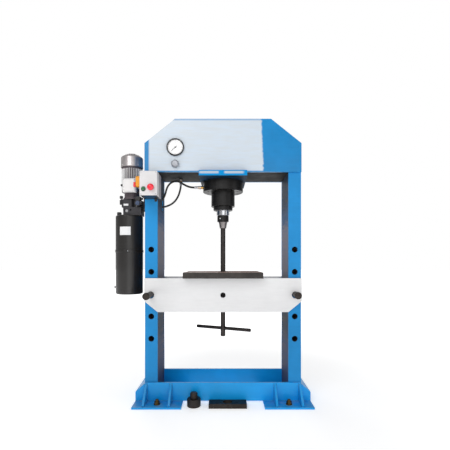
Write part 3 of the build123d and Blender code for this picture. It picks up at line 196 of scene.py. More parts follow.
@cache
def edge_wear():
    """Mask that is high on worn edges: where a rounded normal leaves the true one, broken up by noise."""
    group, entry, result = new_group("edge wear", {"Width": 2 * MM, "Amount": 0.5, "Scale": 40.0}, "Mask")
    soft = add_node(group, "ShaderNodeBevel", {"samples": 4}, Radius=entry.outputs["Width"])
    geometry = group.nodes.new("ShaderNodeNewGeometry")
    dot = add_node(group, "ShaderNodeVectorMath", {"operation": "DOT_PRODUCT"})
    link(group, soft.outputs["Normal"], dot.inputs[0])
    link(group, geometry.outputs["Normal"], dot.inputs[1])
    edge = ramp(group, maths(group, "SUBTRACT", 1.0, dot.outputs["Value"], clamp=True), 0.015, 0.16)
    patches = ramp(group, noise(group, position_in(group), entry.outputs["Scale"], 5.0, 0.65), 0.44, 0.62)
    mask = maths(group, "MULTIPLY", times(group, edge, patches), entry.outputs["Amount"], clamp=True)
    link(group, mask, result.inputs["Mask"])
    return group


@cache
def paint_film():
    """Sprayed paint: a fine orange-peel height, a broad tone and a finer mottle."""
    group, entry, result = new_group("paint film", {"Peel scale": 420.0, "Tone scale": 3.0},
                                     "Height", "Tone", "Mottle")
    position = position_in(group)
    tone = noise(group, position, entry.outputs["Tone scale"], 4.0, 0.6)
    streaks = noise(group, stretched(group, position, (1.0, 1.0, 7.0)), 9.0, 6.0, 0.7)
    link(group, noise(group, position, entry.outputs["Peel scale"], 2.0, 0.45), result.inputs["Height"])
    link(group, ramp(group, tone, 0.3, 0.7), result.inputs["Tone"])
    link(group, ramp(group, streaks, 0.32, 0.7), result.inputs["Mottle"])
    return group


@cache
def dust_film():
    """Dust and grime: a mask on upward faces, broken up by noise."""
    group, entry, result = new_group("dust film", {"Amount": 0.4}, "Mask")
    upward = ramp(group, normal_parts(group)[2], 0.5, 0.95)
    speckle = ramp(group, noise(group, position_in(group), 26.0, 6.0, 0.7), 0.35, 0.72)
    mask = maths(group, "MULTIPLY", times(group, upward, speckle), entry.outputs["Amount"], clamp=True)
    link(group, mask, result.inputs["Mask"])
    return group


@cache
def tool_marks():
    """Turned or ground metal: fine lines along one direction, a broad tone and small stains."""
    group, entry, result = new_group("tool marks", {"Line scale": 30.0}, "Height", "Tone", "Stain")
    position = position_in(group)
    lines = noise(group, stretched(group, position, (2.0, 2.0, 60.0)), entry.outputs["Line scale"], 3.0, 0.6)
    link(group, lines, result.inputs["Height"])
    link(group, ramp(group, noise(group, position, 14.0, 4.0, 0.6), 0.3, 0.7), result.inputs["Tone"])
    link(group, ramp(group, noise(group, position, 55.0, 5.0, 0.7), 0.5, 0.72), result.inputs["Stain"])
    return group


def place_group(tree, group, **values):
    """A node of a shared group with its own values."""
    return add_node(tree, "ShaderNodeGroup", {"node_tree": group}, **values)


def mixed(tree, factor, first, second):
    """Mix of two colours, each a tuple or an output socket."""
    node = add_node(tree, "ShaderNodeMix", {"data_type": "RGBA"})
    for place, value in ((0, factor), (6, first), (7, second)):
        link(tree, value, node.inputs[place])
    return node.outputs[2]


def shade(colour, factor):
    """A colour made darker or lighter by a factor."""
    return tuple(min(1.0, channel * factor) for channel in tuple(colour)[:3]) + (1.0,)


MATERIALS = {}


def constants(shader, **values):
    """Sets a shader's own sockets. Underscores in a socket's name stand for spaces."""
    for key, value in values.items():
        shader.inputs[key.replace("_", " ")].default_value = value


def new_material(name, roughness=0.5, metallic=0.0, coat=0.0, specular=0.5):
    """A material with a Principled BSDF and its constants. Returns the material, its tree and the shader."""
    material = bpy.data.materials.new(name)
    material.use_nodes = True
    tree = material.node_tree
    shader = tree.nodes["Principled BSDF"]
    constants(shader, Roughness=roughness, Metallic=metallic, Coat_Weight=coat, Coat_Roughness=0.08,
              Specular_IOR_Level=specular)
    MATERIALS[name] = material
    return material, tree, shader


def bumped(tree, shader, height, strength, distance):
    """A bump from a height socket into the shader's normal."""
    bump = add_node(tree, "ShaderNodeBump", Strength=strength, Distance=distance, Height=height)
    link(tree, bump.outputs["Normal"], shader.inputs["Normal"])


def axis_values(tree):
    """Object coordinates as three separate sockets."""
    return parts_of(tree, position_in(tree))


def painted(name, colour, roughness=0.36, coat=0.1, wear=0.5, wear_colour=None, dust=0.3, tone=0.1, panel=None,
            specular=0.35):
    """Sprayed machine paint: tone and mottle, orange peel, worn edges, dust on top, and a panel painter's painted
    glare and painted shade if given.
    """
    material, tree, shader = new_material(name, roughness, 0.0, coat, specular)
    film = place_group(tree, paint_film())
    edges = place_group(tree, edge_wear(), Amount=wear)
    dirt = place_group(tree, dust_film(), Amount=dust)
    base = mixed(tree, film.outputs["Tone"], shade(colour, 1 - tone), shade(colour, 1 + tone))
    # Panel painters add painted glare and painted shade.
    if panel:
        base = panel(tree, base, film)
    base = mixed(tree, times(tree, film.outputs["Mottle"], 0.10), base, shade(colour, 1.5))
    base = mixed(tree, dirt.outputs["Mask"], base, linear(176, 172, 164))
    base = mixed(tree, edges.outputs["Mask"], base, wear_colour or linear(150, 154, 158))
    link(tree, base, shader.inputs["Base Color"])
    rough = maths(tree, "MULTIPLY_ADD", film.outputs["Mottle"], 0.16, roughness - 0.06)
    rough = maths(tree, "MULTIPLY_ADD", dirt.outputs["Mask"], 0.4, rough, clamp=True)
    link(tree, rough, shader.inputs["Roughness"])
    bumped(tree, shader, film.outputs["Height"], 0.12, 0.4 * MM)
    return material


def metal(name, colour, roughness=0.35, metallic=1.0, stain=None, stain_amount=0.5, lines=30.0, bump=0.15,
          wear=0.4):
    """Bare metal with tool marks, broad tone, stains and bright edges."""
    material, tree, shader = new_material(name, roughness, metallic)
    marks = place_group(tree, tool_marks(), Line_scale=lines)
    edges = place_group(tree, edge_wear(), Amount=wear, Width=1.5 * MM)
    base = mixed(tree, marks.outputs["Tone"], shade(colour, 0.82), shade(colour, 1.15))
    if stain:
        base = mixed(tree, times(tree, marks.outputs["Stain"], stain_amount), base, stain)
    base = mixed(tree, edges.outputs["Mask"], base, shade(colour, 2.4))
    link(tree, base, shader.inputs["Base Color"])
    rough = maths(tree, "MULTIPLY_ADD", marks.outputs["Height"], 0.25, roughness - 0.12)
    rough = maths(tree, "MULTIPLY_ADD", marks.outputs["Stain"], 0.15, rough, clamp=True)
    link(tree, rough, shader.inputs["Roughness"])
    bumped(tree, shader, marks.outputs["Height"], bump, 0.2 * MM)
    return material


def plastic(name, colour, roughness=0.4, grain=900.0, bump=0.1, coat=0.0, panel=None):
    """Moulded plastic with a fine texture and a slight tone."""
    material, tree, shader = new_material(name, roughness, 0.0, coat)
    film = place_group(tree, paint_film(), Peel_scale=grain, Tone_scale=12.0)
    edges = place_group(tree, edge_wear(), Amount=0.35, Width=1.0 * MM, Scale=90.0)
    base = mixed(tree, film.outputs["Tone"], shade(colour, 0.94), shade(colour, 1.05))
    # A panel painter adds painted shade on the underside, and a boss in its own colour.
    if panel:
        base = panel(tree, base, film)
    base = mixed(tree, edges.outputs["Mask"], base, shade(colour, 1.5))
    link(tree, base, shader.inputs["Base Color"])
    rough = maths(tree, "MULTIPLY_ADD", film.outputs["Mottle"], 0.14, roughness - 0.05)
    link(tree, rough, shader.inputs["Roughness"])
    bumped(tree, shader, film.outputs["Height"], bump, 0.2 * MM)
    return material


def facing_down(tree):
    """Mask of the faces that look downwards."""
    return inverse(tree, ramp(tree, normal_parts(tree)[2], -0.9, -0.5))


def crown_glare(colour, left, right, slant, bottom, top):
    """Painter of the painted glare on the crown's front: a pale field with a straight left edge and a soft, slightly
    slanted right edge, fainter along the top edge.
    """
    def paint(tree, base, film):
        x, y, z = axis_values(tree)
        wobble = maths(tree, "MULTIPLY_ADD", film.outputs["Mottle"], 6 * MM, -3 * MM)
        shifted = maths(tree, "ADD", maths(tree, "MULTIPLY_ADD", z, slant, x), wobble)
        rim = times(tree, ramp(tree, z, top - 13 * MM, top - 8 * MM), 0.5)
        mask = times(tree, ramp(tree, x, left - 6 * MM, left + 6 * MM),
                     inverse(tree, ramp(tree, shifted, right - 4 * MM, right + 8 * MM)),
                     ramp(tree, z, bottom, bottom + 8 * MM), inverse(tree, ramp(tree, y, *GLARE_DEPTH)),
                     inverse(tree, rim))
        pale = mixed(tree, film.outputs["Mottle"], shade(colour, 0.93), shade(colour, 1.04))
        return mixed(tree, mask, base, pale)
    return paint


def mount_glare_and_shade(colour, inner, outer, low, high, front, under):
    """Painter of the two fields of painted glare on the front edge of the cylinder's mount plate, and of painted
    shade on its underside.
    """
    def paint(tree, base, film):
        x, y, z = axis_values(tree)
        spread = maths(tree, "ABSOLUTE", maths(tree, "ADD", x, GLARE_OFFSET))
        mask = times(tree, ramp(tree, spread, inner, inner + 12 * MM),
                     inverse(tree, ramp(tree, spread, outer, outer + 20 * MM)),
                     ramp(tree, z, low, low + 10 * MM), inverse(tree, ramp(tree, z, high - 6 * MM, high)),
                     maths(tree, "LESS_THAN", y, front + 3 * MM))
        # Faces that look downwards take the under colour as painted shade; the front fields take the glare colour.
        return mixed(tree, facing_down(tree), mixed(tree, mask, base, colour), under)
    return paint


def under_shade(under, side=None, boss=None):
    """Painter of painted shade on the underside, where faces look downwards, and of a boss in its own colour beyond a
    side face.
    """
    def paint(tree, base, film):
        base = mixed(tree, facing_down(tree), base, under)
        if boss:
            x = axis_values(tree)[0]
            base = mixed(tree, maths(tree, "LESS_THAN", x, side), base, boss)
        return base
    return paint


# Heights of the web's bands: painted shadow under the bed, the grey middle, then dark blue and near black as painted
# shadow below the crown.
WEB_SHADE_BANDS = ((0.34, 0.50), (0.56, 0.80), (1.12, 1.22), (1.22, 1.32))
WEB_EDGE = (0.120, 0.127)


def web_shade(foot, shadow, middle, blue, top):
    """Painter of the upright's inner web: grey, darker towards its foot and darkest just under the bed as painted
    shade, and dark blue then near black at its top as painted shadow below the crown.
    """
    def paint(tree, base, film):
        x, y, z = axis_values(tree)
        inward = ramp(tree, times(tree, x, normal_parts(tree)[0], -1.0), 0.2, 0.3)
        inside = inverse(tree, ramp(tree, maths(tree, "ABSOLUTE", y), *WEB_EDGE))
        height = maths(tree, "MULTIPLY_ADD", film.outputs["Mottle"], 0.05, z)
        web = foot
        for band, tone in zip(WEB_SHADE_BANDS, (shadow, middle, blue, top)):
            web = mixed(tree, ramp(tree, height, *band), web, tone)
        return mixed(tree, times(tree, inward, inside), base, web)
    return paint


# Edges, slant and depth band of the painted glare on the crown's front.
GLARE_LEFT = -0.472
GLARE_RIGHT = 0.311
GLARE_SLANT = 0.038
GLARE_DEPTH = (-0.150, -0.146)
# Spread of the mount plate's two fields of painted glare about the ram's axis.
GLARE_INNER = 0.012
GLARE_OUTER = 0.128
GLARE_OFFSET = 0.010


def make_materials(colours):
    """Builds every material of the press."""
    crown_low, crown_high = corners("crown_front_plate")
    mount_low, mount_high = corners("cylinder_mount_plate")
    painted("blue paint", colours.blue)
    # Base: the frame's blue painted lighter, as painted light on the beams and feet.
    painted("base paint with painted light", shade(colours.blue, 1.38))
    # Crown front: the frame's blue painted darker as painted shade, with the painted glare field.
    painted("crown front paint with painted shade and glare", shade(colours.blue, 0.84),
            panel=crown_glare(colours.pale, GLARE_LEFT, GLARE_RIGHT, GLARE_SLANT, crown_low.z + 3 * MM,
                              crown_high.z))
    # Mount plate: painted glare on its front edge and painted shade on its underside.
    painted("mount plate paint", colours.blue, roughness=0.6, coat=0.0, specular=0.12,
            panel=mount_glare_and_shade(shade(colours.pale, 0.8), GLARE_INNER, GLARE_OUTER, mount_low.z + 8 * MM,
                              mount_high.z - 4 * MM, mount_low.y, shade(colours.black, 0.6)))
    # Upright paint: the inner web carries the web painter's painted shade and painted shadow.
    painted("upright paint", linear(44, 133, 194), roughness=0.62, coat=0.0, specular=0.12, wear=0.2, dust=0.1,
            panel=web_shade(linear(66, 65, 84), linear(44, 41, 44), linear(118, 114, 122), linear(58, 76, 104),
                            linear(38, 36, 38)))
    painted("bed paint", colours.bed, roughness=0.42, wear=0.6, wear_colour=linear(120, 118, 116), tone=0.04)
    # Black paint: painted shade on its undersides.
    painted("black paint", colours.black, roughness=0.42, coat=0.08, wear=0.35, wear_colour=linear(84, 84, 86),
            dust=0.2, specular=0.25, panel=under_shade(shade(colours.black, 0.4)))
    painted("tank paint", linear(36, 34, 33), roughness=0.34, coat=0.2, wear=0.3, wear_colour=linear(96, 92, 90))
    # Crown bottom plate: near black, darker than the black paint, as painted shade under the crown.
    painted("crown underside painted shade", shade(colours.black, 0.45), roughness=0.65, coat=0.0, wear=0.1, dust=0.05,
            specular=0.15)
    painted("motor grey paint", linear(79, 71, 75), roughness=0.45, wear=0.5, dust=0.25)
    painted("terminal box paint", linear(224, 222, 221), roughness=0.38, wear=0.3, tone=0.03)
    metal("hard chrome", linear(205, 207, 212), roughness=0.16, lines=60.0, bump=0.05, wear=0.1)
    metal("dark steel", linear(64, 60, 58), roughness=0.5, stain=linear(58, 44, 38), wear=0.7)
    # Pin tubes: dark brown, as painted shade inside the pin holes.
    metal("hole shade steel", linear(74, 62, 58), roughness=0.75, metallic=0.2, stain=linear(40, 28, 24), wear=0.2)
    metal("dark rod steel", linear(64, 61, 60), roughness=0.38, stain=linear(50, 40, 36), wear=0.8)
    metal("nose steel", linear(120, 116, 116), roughness=0.3, stain=linear(64, 56, 52), wear=0.5)
    metal("brushed cover", linear(196, 190, 190), roughness=0.32, metallic=0.85, lines=14.0, wear=0.3)
    metal("yellow zinc", linear(112, 90, 56), roughness=0.5, stain=linear(96, 58, 34), stain_amount=0.8)
    metal("brass", linear(206, 160, 92), roughness=0.28, stain=linear(120, 90, 52), stain_amount=0.4)
    metal("pressed steel", linear(205, 203, 206), roughness=0.34, lines=22.0, wear=0.3)
    metal("machined steel", linear(150, 150, 152), roughness=0.34)
    metal("anodised block", linear(54, 53, 56), roughness=0.42, metallic=0.5, wear=0.6)
    table_steel(colours.table)
    # Box plastics: painted shade on their undersides; the housing's boss keeps its own yellow.
    plastic("cover plastic", colours.cover, roughness=0.36, panel=under_shade(linear(38, 36, 37)))
    plastic("housing plastic", linear(150, 146, 154), roughness=0.4,
            panel=under_shade(linear(34, 32, 33), corners("control_box_cover")[0].x - 0.4 * MM, linear(228, 150, 30)))
    plastic("red plastic", linear(226, 34, 54), roughness=0.25, coat=0.3)
    plastic("green plastic", linear(34, 98, 58), roughness=0.25, coat=0.3)
    plastic("black plastic", linear(32, 32, 34), roughness=0.42)
    plastic("black gloss plastic", linear(20, 20, 22), roughness=0.2, coat=0.4)
    plastic("coil blue", linear(58, 74, 104), roughness=0.35)
    plastic("print grey", linear(178, 180, 186), roughness=0.5, bump=0.0)
    metal("knob steel", linear(150, 152, 158), roughness=0.3, metallic=0.7, wear=0.5)
    plastic("dial card", linear(254, 254, 254), roughness=0.6, bump=0.02)
    plastic("label card", linear(228, 228, 229), roughness=0.55, bump=0.03)
    plastic("needle black", linear(20, 20, 22), roughness=0.35, bump=0.0)
    rubber("hose rubber", linear(36, 35, 36))
    rubber("seal rubber", linear(28, 28, 28))
    clear_glass("gauge glass")


def table_steel(top_colour):
    """Table plate: blackened sides, brown oiled top with scuffs and a few bright scratches."""
    material, tree, shader = new_material("table steel", 0.5, 0.0, specular=0.3)
    marks = place_group(tree, tool_marks(), Line_scale=20.0)
    edges = place_group(tree, edge_wear(), Amount=0.7, Width=2 * MM)
    upward = ramp(tree, normal_parts(tree)[2], 0.6, 0.9)
    sides = mixed(tree, marks.outputs["Tone"], linear(44, 40, 38), linear(60, 55, 52))
    top = mixed(tree, marks.outputs["Tone"], shade(top_colour, 0.8), shade(top_colour, 1.25))
    top = mixed(tree, times(tree, marks.outputs["Stain"], 0.6), top, linear(104, 78, 66))
    base = mixed(tree, upward, sides, top)
    base = mixed(tree, edges.outputs["Mask"], base, linear(176, 168, 162))
    link(tree, base, shader.inputs["Base Color"])
    link(tree, maths(tree, "MULTIPLY_ADD", marks.outputs["Height"], 0.3, 0.3), shader.inputs["Roughness"])
    bumped(tree, shader, marks.outputs["Height"], 0.2, 0.2 * MM)
    return material


def rubber(name, colour):
    """Hose or seal rubber: fine cloth-marked skin with a dull sheen."""
    material, tree, shader = new_material(name, 0.5, 0.0)
    film = place_group(tree, paint_film(), Peel_scale=1400.0, Tone_scale=30.0)
    base = mixed(tree, film.outputs["Tone"], shade(colour, 0.8), shade(colour, 1.25))
    base = mixed(tree, times(tree, film.outputs["Mottle"], 0.15), base, linear(96, 94, 92))
    link(tree, base, shader.inputs["Base Color"])
    link(tree, maths(tree, "MULTIPLY_ADD", film.outputs["Mottle"], 0.2, 0.38), shader.inputs["Roughness"])
    bumped(tree, shader, film.outputs["Height"], 0.25, 0.3 * MM)
    return material


def clear_glass(name):
    """Thin clear window of the gauge, with faint smears."""
    material, tree, shader = new_material(name, 0.03, 0.0)
    film = place_group(tree, paint_film(), Peel_scale=60.0, Tone_scale=20.0)
    constants(shader, Base_Color=(1.0, 1.0, 1.0, 1.0), Transmission_Weight=1.0, IOR=1.45, Alpha=0.15)
    link(tree, maths(tree, "MULTIPLY_ADD", film.outputs["Mottle"], 0.05, 0.01), shader.inputs["Roughness"])
    return material


# ------------------------------------------------------------------ mesh helpers
def added(name, data):
    """A new object in the scene, of a mesh, curve, lamp or camera."""
    item = bpy.data.objects.new(name, data)
    bpy.context.scene.collection.objects.link(item)
    return item


def plain_mesh(holder):
    """The mesh of an object after its modifiers. The object is removed."""
    bpy.context.view_layer.update()
    graph = bpy.context.evaluated_depsgraph_get()
    result = bpy.data.meshes.new_from_object(holder.evaluated_get(graph), depsgraph=graph)
    bpy.data.objects.remove(holder)
    return result


def evaluated(mesh, *modifiers):
    """The mesh after modifiers, each given as (type, settings). The mesh it started from is removed."""
    holder = added("holder", mesh)
    for kind, settings in modifiers:
        modifier = holder.modifiers.new(kind.lower(), kind)
        for key, value in settings.items():
            setattr(modifier, key, value)
    result = plain_mesh(holder)
    bpy.data.meshes.remove(mesh)
    return result


def from_bmesh(bm, name="piece"):
    """A mesh of a bmesh, which is freed."""
    mesh = bpy.data.meshes.new(name)
    bm.to_mesh(mesh)
    bm.free()
    return mesh


def as_mesh(bm):
    """A mesh of a bmesh, with its doubles merged and its faces outwards."""
    bmesh.ops.remove_doubles(bm, verts=bm.verts, dist=1e-6)
    bmesh.ops.recalc_face_normals(bm, faces=bm.faces)
    return from_bmesh(bm)


def bridge(bm, lower, upper):
    """Faces between two rings of as many vertices."""
    for k in range(len(lower)):
        after = (k + 1) % len(lower)
        bm.faces.new((lower[k], lower[after], upper[after], upper[k]))


def joined(*meshes):
    """One mesh of several, each with its own first material kept."""
    bm = bmesh.new()
    materials = []
    for mesh in meshes:
        start = len(bm.faces)
        bm.from_mesh(mesh)
        bm.faces.ensure_lookup_table()
        material = mesh.materials[0] if mesh.materials else None
        if material not in materials:
            materials.append(material)
        for face in bm.faces[start:]:
            face.material_index = materials.index(material)
    result = from_bmesh(bm)
    for material in materials:
        result.materials.append(material)
    for mesh in meshes:
        bpy.data.meshes.remove(mesh)
    return result


def settle(name, mesh, material, body, finish, *nodes, angle=38.0, weigh=True):
    """Turns a mesh into a finished piece on a body and the CAD nodes it stands for."""
    mesh.shade_smooth()
    mesh.set_sharp_from_angle(angle=radians(angle))
    if weigh:
        mesh = evaluated(mesh, ("WEIGHTED_NORMAL", {"keep_sharp": True, "weight": 80}))
    mesh.name = name
    if material:
        painted_mesh(mesh, material)
    piece = added(name, mesh)
    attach(piece, body)
    if nodes:
        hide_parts(*nodes)
    return piece


def node_copy(node):
    """A bmesh of a CAD node's surface, its doubles merged and its flat regions joined."""
    bm = bmesh.new()
    bm.from_mesh(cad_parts[node].data)
    bmesh.ops.remove_doubles(bm, verts=bm.verts, dist=1e-5)
    bmesh.ops.dissolve_limit(bm, angle_limit=radians(0.6), verts=bm.verts, edges=bm.edges)
    return bm


def rounded(mesh, width, steps=2, angle=32.0):
    """The mesh with its edges rounded."""
    mesh.shade_smooth()
    return evaluated(mesh, ("BEVEL", {
        "width": width, "segments": steps, "limit_method": "ANGLE", "angle_limit": radians(angle),
        "use_clamp_overlap": True, "miter_outer": "MITER_ARC",
    }))


def rounded_node(node, material, body, finish, width, steps=2):
    """A finished piece that is a CAD node with rounded edges."""
    mesh = rounded(from_bmesh(node_copy(node)), width, steps)
    return settle("finished_" + node, mesh, material, body, finish, node)


def round_nodes(body, rows):
    """Rounded CAD nodes of one body, in rows of node, material, slot and width of the rounding."""
    for node, material, finish, width in rows:
        rounded_node(node, material, body, finish, width)


def keep_node(node, material):
    """A CAD node that stays as it is and gets its finished material."""
    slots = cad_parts[node].data.materials
    for place in range(len(slots)):
        slots[place] = MATERIALS[material]
    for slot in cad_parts[node].material_slots:
        slot.material = MATERIALS[material]


def block(low, high, radius=0.0, steps=2):
    """A closed box between two corners, with rounded edges."""
    bm = bmesh.new()
    low, high = Vector(low), Vector(high)
    place = Matrix.Translation((low + high) / 2) @ Matrix.Diagonal((*(high - low), 1.0))
    bmesh.ops.create_cube(bm, size=1.0, matrix=place)
    if radius:
        bmesh.ops.bevel(bm, geom=list(bm.edges), offset=radius, segments=steps, profile=0.5, affect="EDGES")
    return as_mesh(bm)


def eased(profile, radius, steps=3):
    """A lathe profile with its inner corners rounded off, each within a third of its shorter side."""
    points = [Vector(point) for point in profile]
    result = [points[0]]
    for before, corner, after in zip(points, points[1:], points[2:]):
        reach = min(radius, (before - corner).length / 3, (after - corner).length / 3)
        start = corner + (before - corner).normalized() * reach
        end = corner + (after - corner).normalized() * reach
        for step in range(steps + 1):
            t = step / steps
            result.append(start * (1 - t) ** 2 + corner * 2 * t * (1 - t) + end * t ** 2)
    result.append(points[-1])
    return result


def axis_matrix(origin, axis):
    """Places a shape made along +Z at an origin, along an axis."""
    return Matrix.Translation(origin) @ Vector((0, 0, 1)).rotation_difference(Vector(axis)).to_matrix().to_4x4()


def turned(profile, origin, axis=(0, 0, 1), ease=0.8 * MM, segments=72, steps=3):
    """A closed turned mesh: the profile is (radius, place along the axis), from axis to axis or closed by a ring."""
    bm = bmesh.new()
    place = axis_matrix(origin, axis)
    rings = []
    for radius, along in (eased(profile, ease, steps) if ease else profile):
        if radius < 1e-7:
            rings.append([bm.verts.new(place @ Vector((0, 0, along)))])
        else:
            rings.append([
                bm.verts.new(place @ Vector((radius * cos(2 * pi * k / segments),
                                             radius * sin(2 * pi * k / segments), along)))
                for k in range(segments)
            ])
    for lower, upper in zip(rings, rings[1:]):
        for k in range(segments):
            after = (k + 1) % segments
            unique = list(dict.fromkeys((lower[k % len(lower)], lower[after % len(lower)],
                                         upper[after % len(upper)], upper[k % len(upper)])))
            if len(unique) > 2:
                bm.faces.new(unique)
    return as_mesh(bm)


def rod(radius, length):
    """Profile of a plain turned rod."""
    return [(0.0, 0.0), (radius, 0.0), (radius, length), (0.0, length)]


def prism(outline, low, high, axis="Y", radius=0.0):
    """A closed prism: a plane outline drawn between two places along an axis."""
    bm = bmesh.new()
    order = {"X": lambda u, v, w: (w, u, v), "Y": lambda u, v, w: (u, w, v), "Z": lambda u, v, w: (u, v, w)}[axis]
    first = [bm.verts.new(order(u, v, low)) for u, v in outline]
    last = [bm.verts.new(order(u, v, high)) for u, v in outline]
    bm.faces.new(first)
    bm.faces.new(last)
    bridge(bm, first, last)
    if radius:
        bmesh.ops.recalc_face_normals(bm, faces=bm.faces)
        bmesh.ops.bevel(bm, geom=list(bm.edges), offset=radius, segments=2, profile=0.5, affect="EDGES")
    return as_mesh(bm)


def polygon(sides, radius, centre=(0.0, 0.0), turn=0.0):
    """Corners of a regular polygon."""
    return [(centre[0] + radius * cos(2 * pi * k / sides + turn), centre[1] + radius * sin(2 * pi * k / sides + turn))
            for k in range(sides)]


def hexagon(radius, low, high, place, axis=(0, 0, 1), edge=0.6 * MM):
    """A hexagonal nut or head between two places along an axis."""
    nut = prism(polygon(6, radius), low, high, "Z", edge)
    nut.transform(axis_matrix(place, axis))
    return nut


def around(count, first):
    """Evenly spaced angles of a full turn."""
    return [first + 2 * pi * k / count for k in range(count)]


def lettering(text, height, place, material):
    """A word or number as a flat mesh with a little thickness, at a place given as a matrix."""
    curve = bpy.data.curves.new("figure", "FONT")
    curve.body = text
    curve.size = height
    curve.extrude = 0.15 * MM
    curve.align_x = "CENTER"
    curve.align_y = "CENTER"
    mesh = plain_mesh(added("figure", curve))
    bpy.data.curves.remove(curve)
    mesh.transform(place)
    return painted_mesh(mesh, material)


def painted_mesh(mesh, material):
    """The mesh with one material, for joining with others."""
    mesh.materials.clear()
    mesh.materials.append(MATERIALS[material])
    return mesh


# ------------------------------------------------------------------ geometry trees
class PatternTree:
    """A Geometry Nodes tree with named inputs. It ends in Realize Instances and Set Material."""

    def __init__(self, name, **inputs):
        self.group = bpy.data.node_groups.new(name, "GeometryNodeTree")
        face = self.group.interface
        face.new_socket("Geometry", in_out="INPUT", socket_type="NodeSocketGeometry")
        for key, value in inputs.items():
            kind = "NodeSocketInt" if isinstance(value, int) else "NodeSocketFloat"
            face.new_socket(key.replace("_", " "), in_out="INPUT", socket_type=kind).default_value = value
        face.new_socket("Material", in_out="INPUT", socket_type="NodeSocketMaterial")
        face.new_socket("Geometry", in_out="OUTPUT", socket_type="NodeSocketGeometry")
        self.entry = self.group.nodes.new("NodeGroupInput")

    def take(self, key):
        """The output socket of a named input."""
        return self.entry.outputs[key]

    def add(self, kind, settings=(), **sockets):
        """A node of the tree, as add_node makes it."""
        return add_node(self.group, kind, settings, **sockets)

    def vector(self, x=0.0, y=0.0, z=0.0):
        """Output socket of three numbers or sockets joined into a vector."""
        return self.add("ShaderNodeCombineXYZ", X=x, Y=y, Z=z).outputs[0]

    def end(self, geometry):
        """Closes the tree."""
        realized = self.add("GeometryNodeRealizeInstances", Geometry=geometry)
        painted_faces = self.add("GeometryNodeSetMaterial", Geometry=realized.outputs[0],
                                 Material=self.take("Material"))
        closing = self.group.nodes.new("NodeGroupOutput")
        self.group.links.new(painted_faces.outputs[0], closing.inputs[0])
        return self.group

    @staticmethod
    def grow(group, material, mesh=None, **values):
        """The plain mesh that a tree makes with these values."""
        source = mesh or bpy.data.meshes.new("empty")
        holder = added("holder", source)
        modifier = holder.modifiers.new("pattern", "NODES")
        modifier.node_group = group
        names = {item.name: item.identifier for item in group.interface.items_tree if item.in_out == "INPUT"}
        modifier[names["Material"]] = MATERIALS[material]
        for key, value in values.items():
            modifier[names[key.replace("_", " ")]] = value
        result = plain_mesh(holder)
        bpy.data.meshes.remove(source)
        return result


@cache
def screw_heads_tree():
    """Socket heads on every point of the mesh it is given, standing along +Z."""
    tree = PatternTree("screw heads", Head_radius=6 * MM, Head_height=5 * MM, Socket=0.55, Sides=16)
    head = tree.add("GeometryNodeMeshCylinder", Vertices=tree.take("Sides"), Radius=tree.take("Head radius"),
                    Depth=tree.take("Head height"))
    lip = tree.add("GeometryNodeExtrudeMesh", Mesh=head.outputs["Mesh"], Selection=head.outputs["Top"],
                   Offset_Scale=0.05 * MM)
    narrow = tree.add("GeometryNodeScaleElements", Geometry=lip.outputs["Mesh"], Selection=lip.outputs["Top"],
                      Scale=tree.take("Socket"))
    down = maths(tree.group, "MULTIPLY", tree.take("Head height"), -0.55)
    recess = tree.add("GeometryNodeExtrudeMesh", Mesh=narrow.outputs[0], Selection=lip.outputs["Top"],
                      Offset_Scale=down)
    points = tree.add("GeometryNodeInstanceOnPoints", Points=tree.take("Geometry"), Instance=recess.outputs["Mesh"])
    return tree.end(points.outputs[0])


def facing_out(tree):
    """Rotation socket that turns an instance's X away from the Z axis."""
    place = tree.add("GeometryNodeInputPosition")
    return tree.add("FunctionNodeAlignRotationToVector", {"axis": "X", "pivot_axis": "Z"},
                    Vector=place.outputs[0]).outputs[0]


@cache
def fins_tree():
    """Straight bars around +Z, each standing along it."""
    tree = PatternTree("bars on a ring", Count=36, Ring_radius=0.065, Depth=6 * MM, Width=2.4 * MM, Length=0.14)
    ring = tree.add("GeometryNodeMeshCircle", Vertices=tree.take("Count"), Radius=tree.take("Ring radius"))
    bar = tree.add("GeometryNodeMeshCube",
                   Size=tree.vector(tree.take("Depth"), tree.take("Width"), tree.take("Length")))
    placed = tree.add("GeometryNodeInstanceOnPoints", Points=ring.outputs[0], Instance=bar.outputs["Mesh"],
                      Rotation=facing_out(tree))
    return tree.end(placed.outputs[0])


@cache
def weld_tree():
    """Weld bead along the edges of the mesh it is given: overlapping flattened drops."""
    tree = PatternTree("weld bead", Bead_radius=4.5 * MM, Pitch=3.2 * MM)
    curve = tree.add("GeometryNodeMeshToCurve", Mesh=tree.take("Geometry"))
    even = tree.add("GeometryNodeResampleCurve", {"mode": "LENGTH"}, Curve=curve.outputs[0],
                    Length=tree.take("Pitch"))
    drop = tree.add("GeometryNodeMeshUVSphere", Segments=8, Rings=6, Radius=tree.take("Bead radius"))
    chance = tree.add("FunctionNodeRandomValue", {"data_type": "FLOAT"})
    chance.inputs[2].default_value = 0.86
    chance.inputs[3].default_value = 1.12
    chance.inputs["Seed"].default_value = 7
    points = tree.add("GeometryNodeInstanceOnPoints", Points=even.outputs[0], Instance=drop.outputs["Mesh"],
                      Scale=chance.outputs[1])
    return tree.end(points.outputs[0])


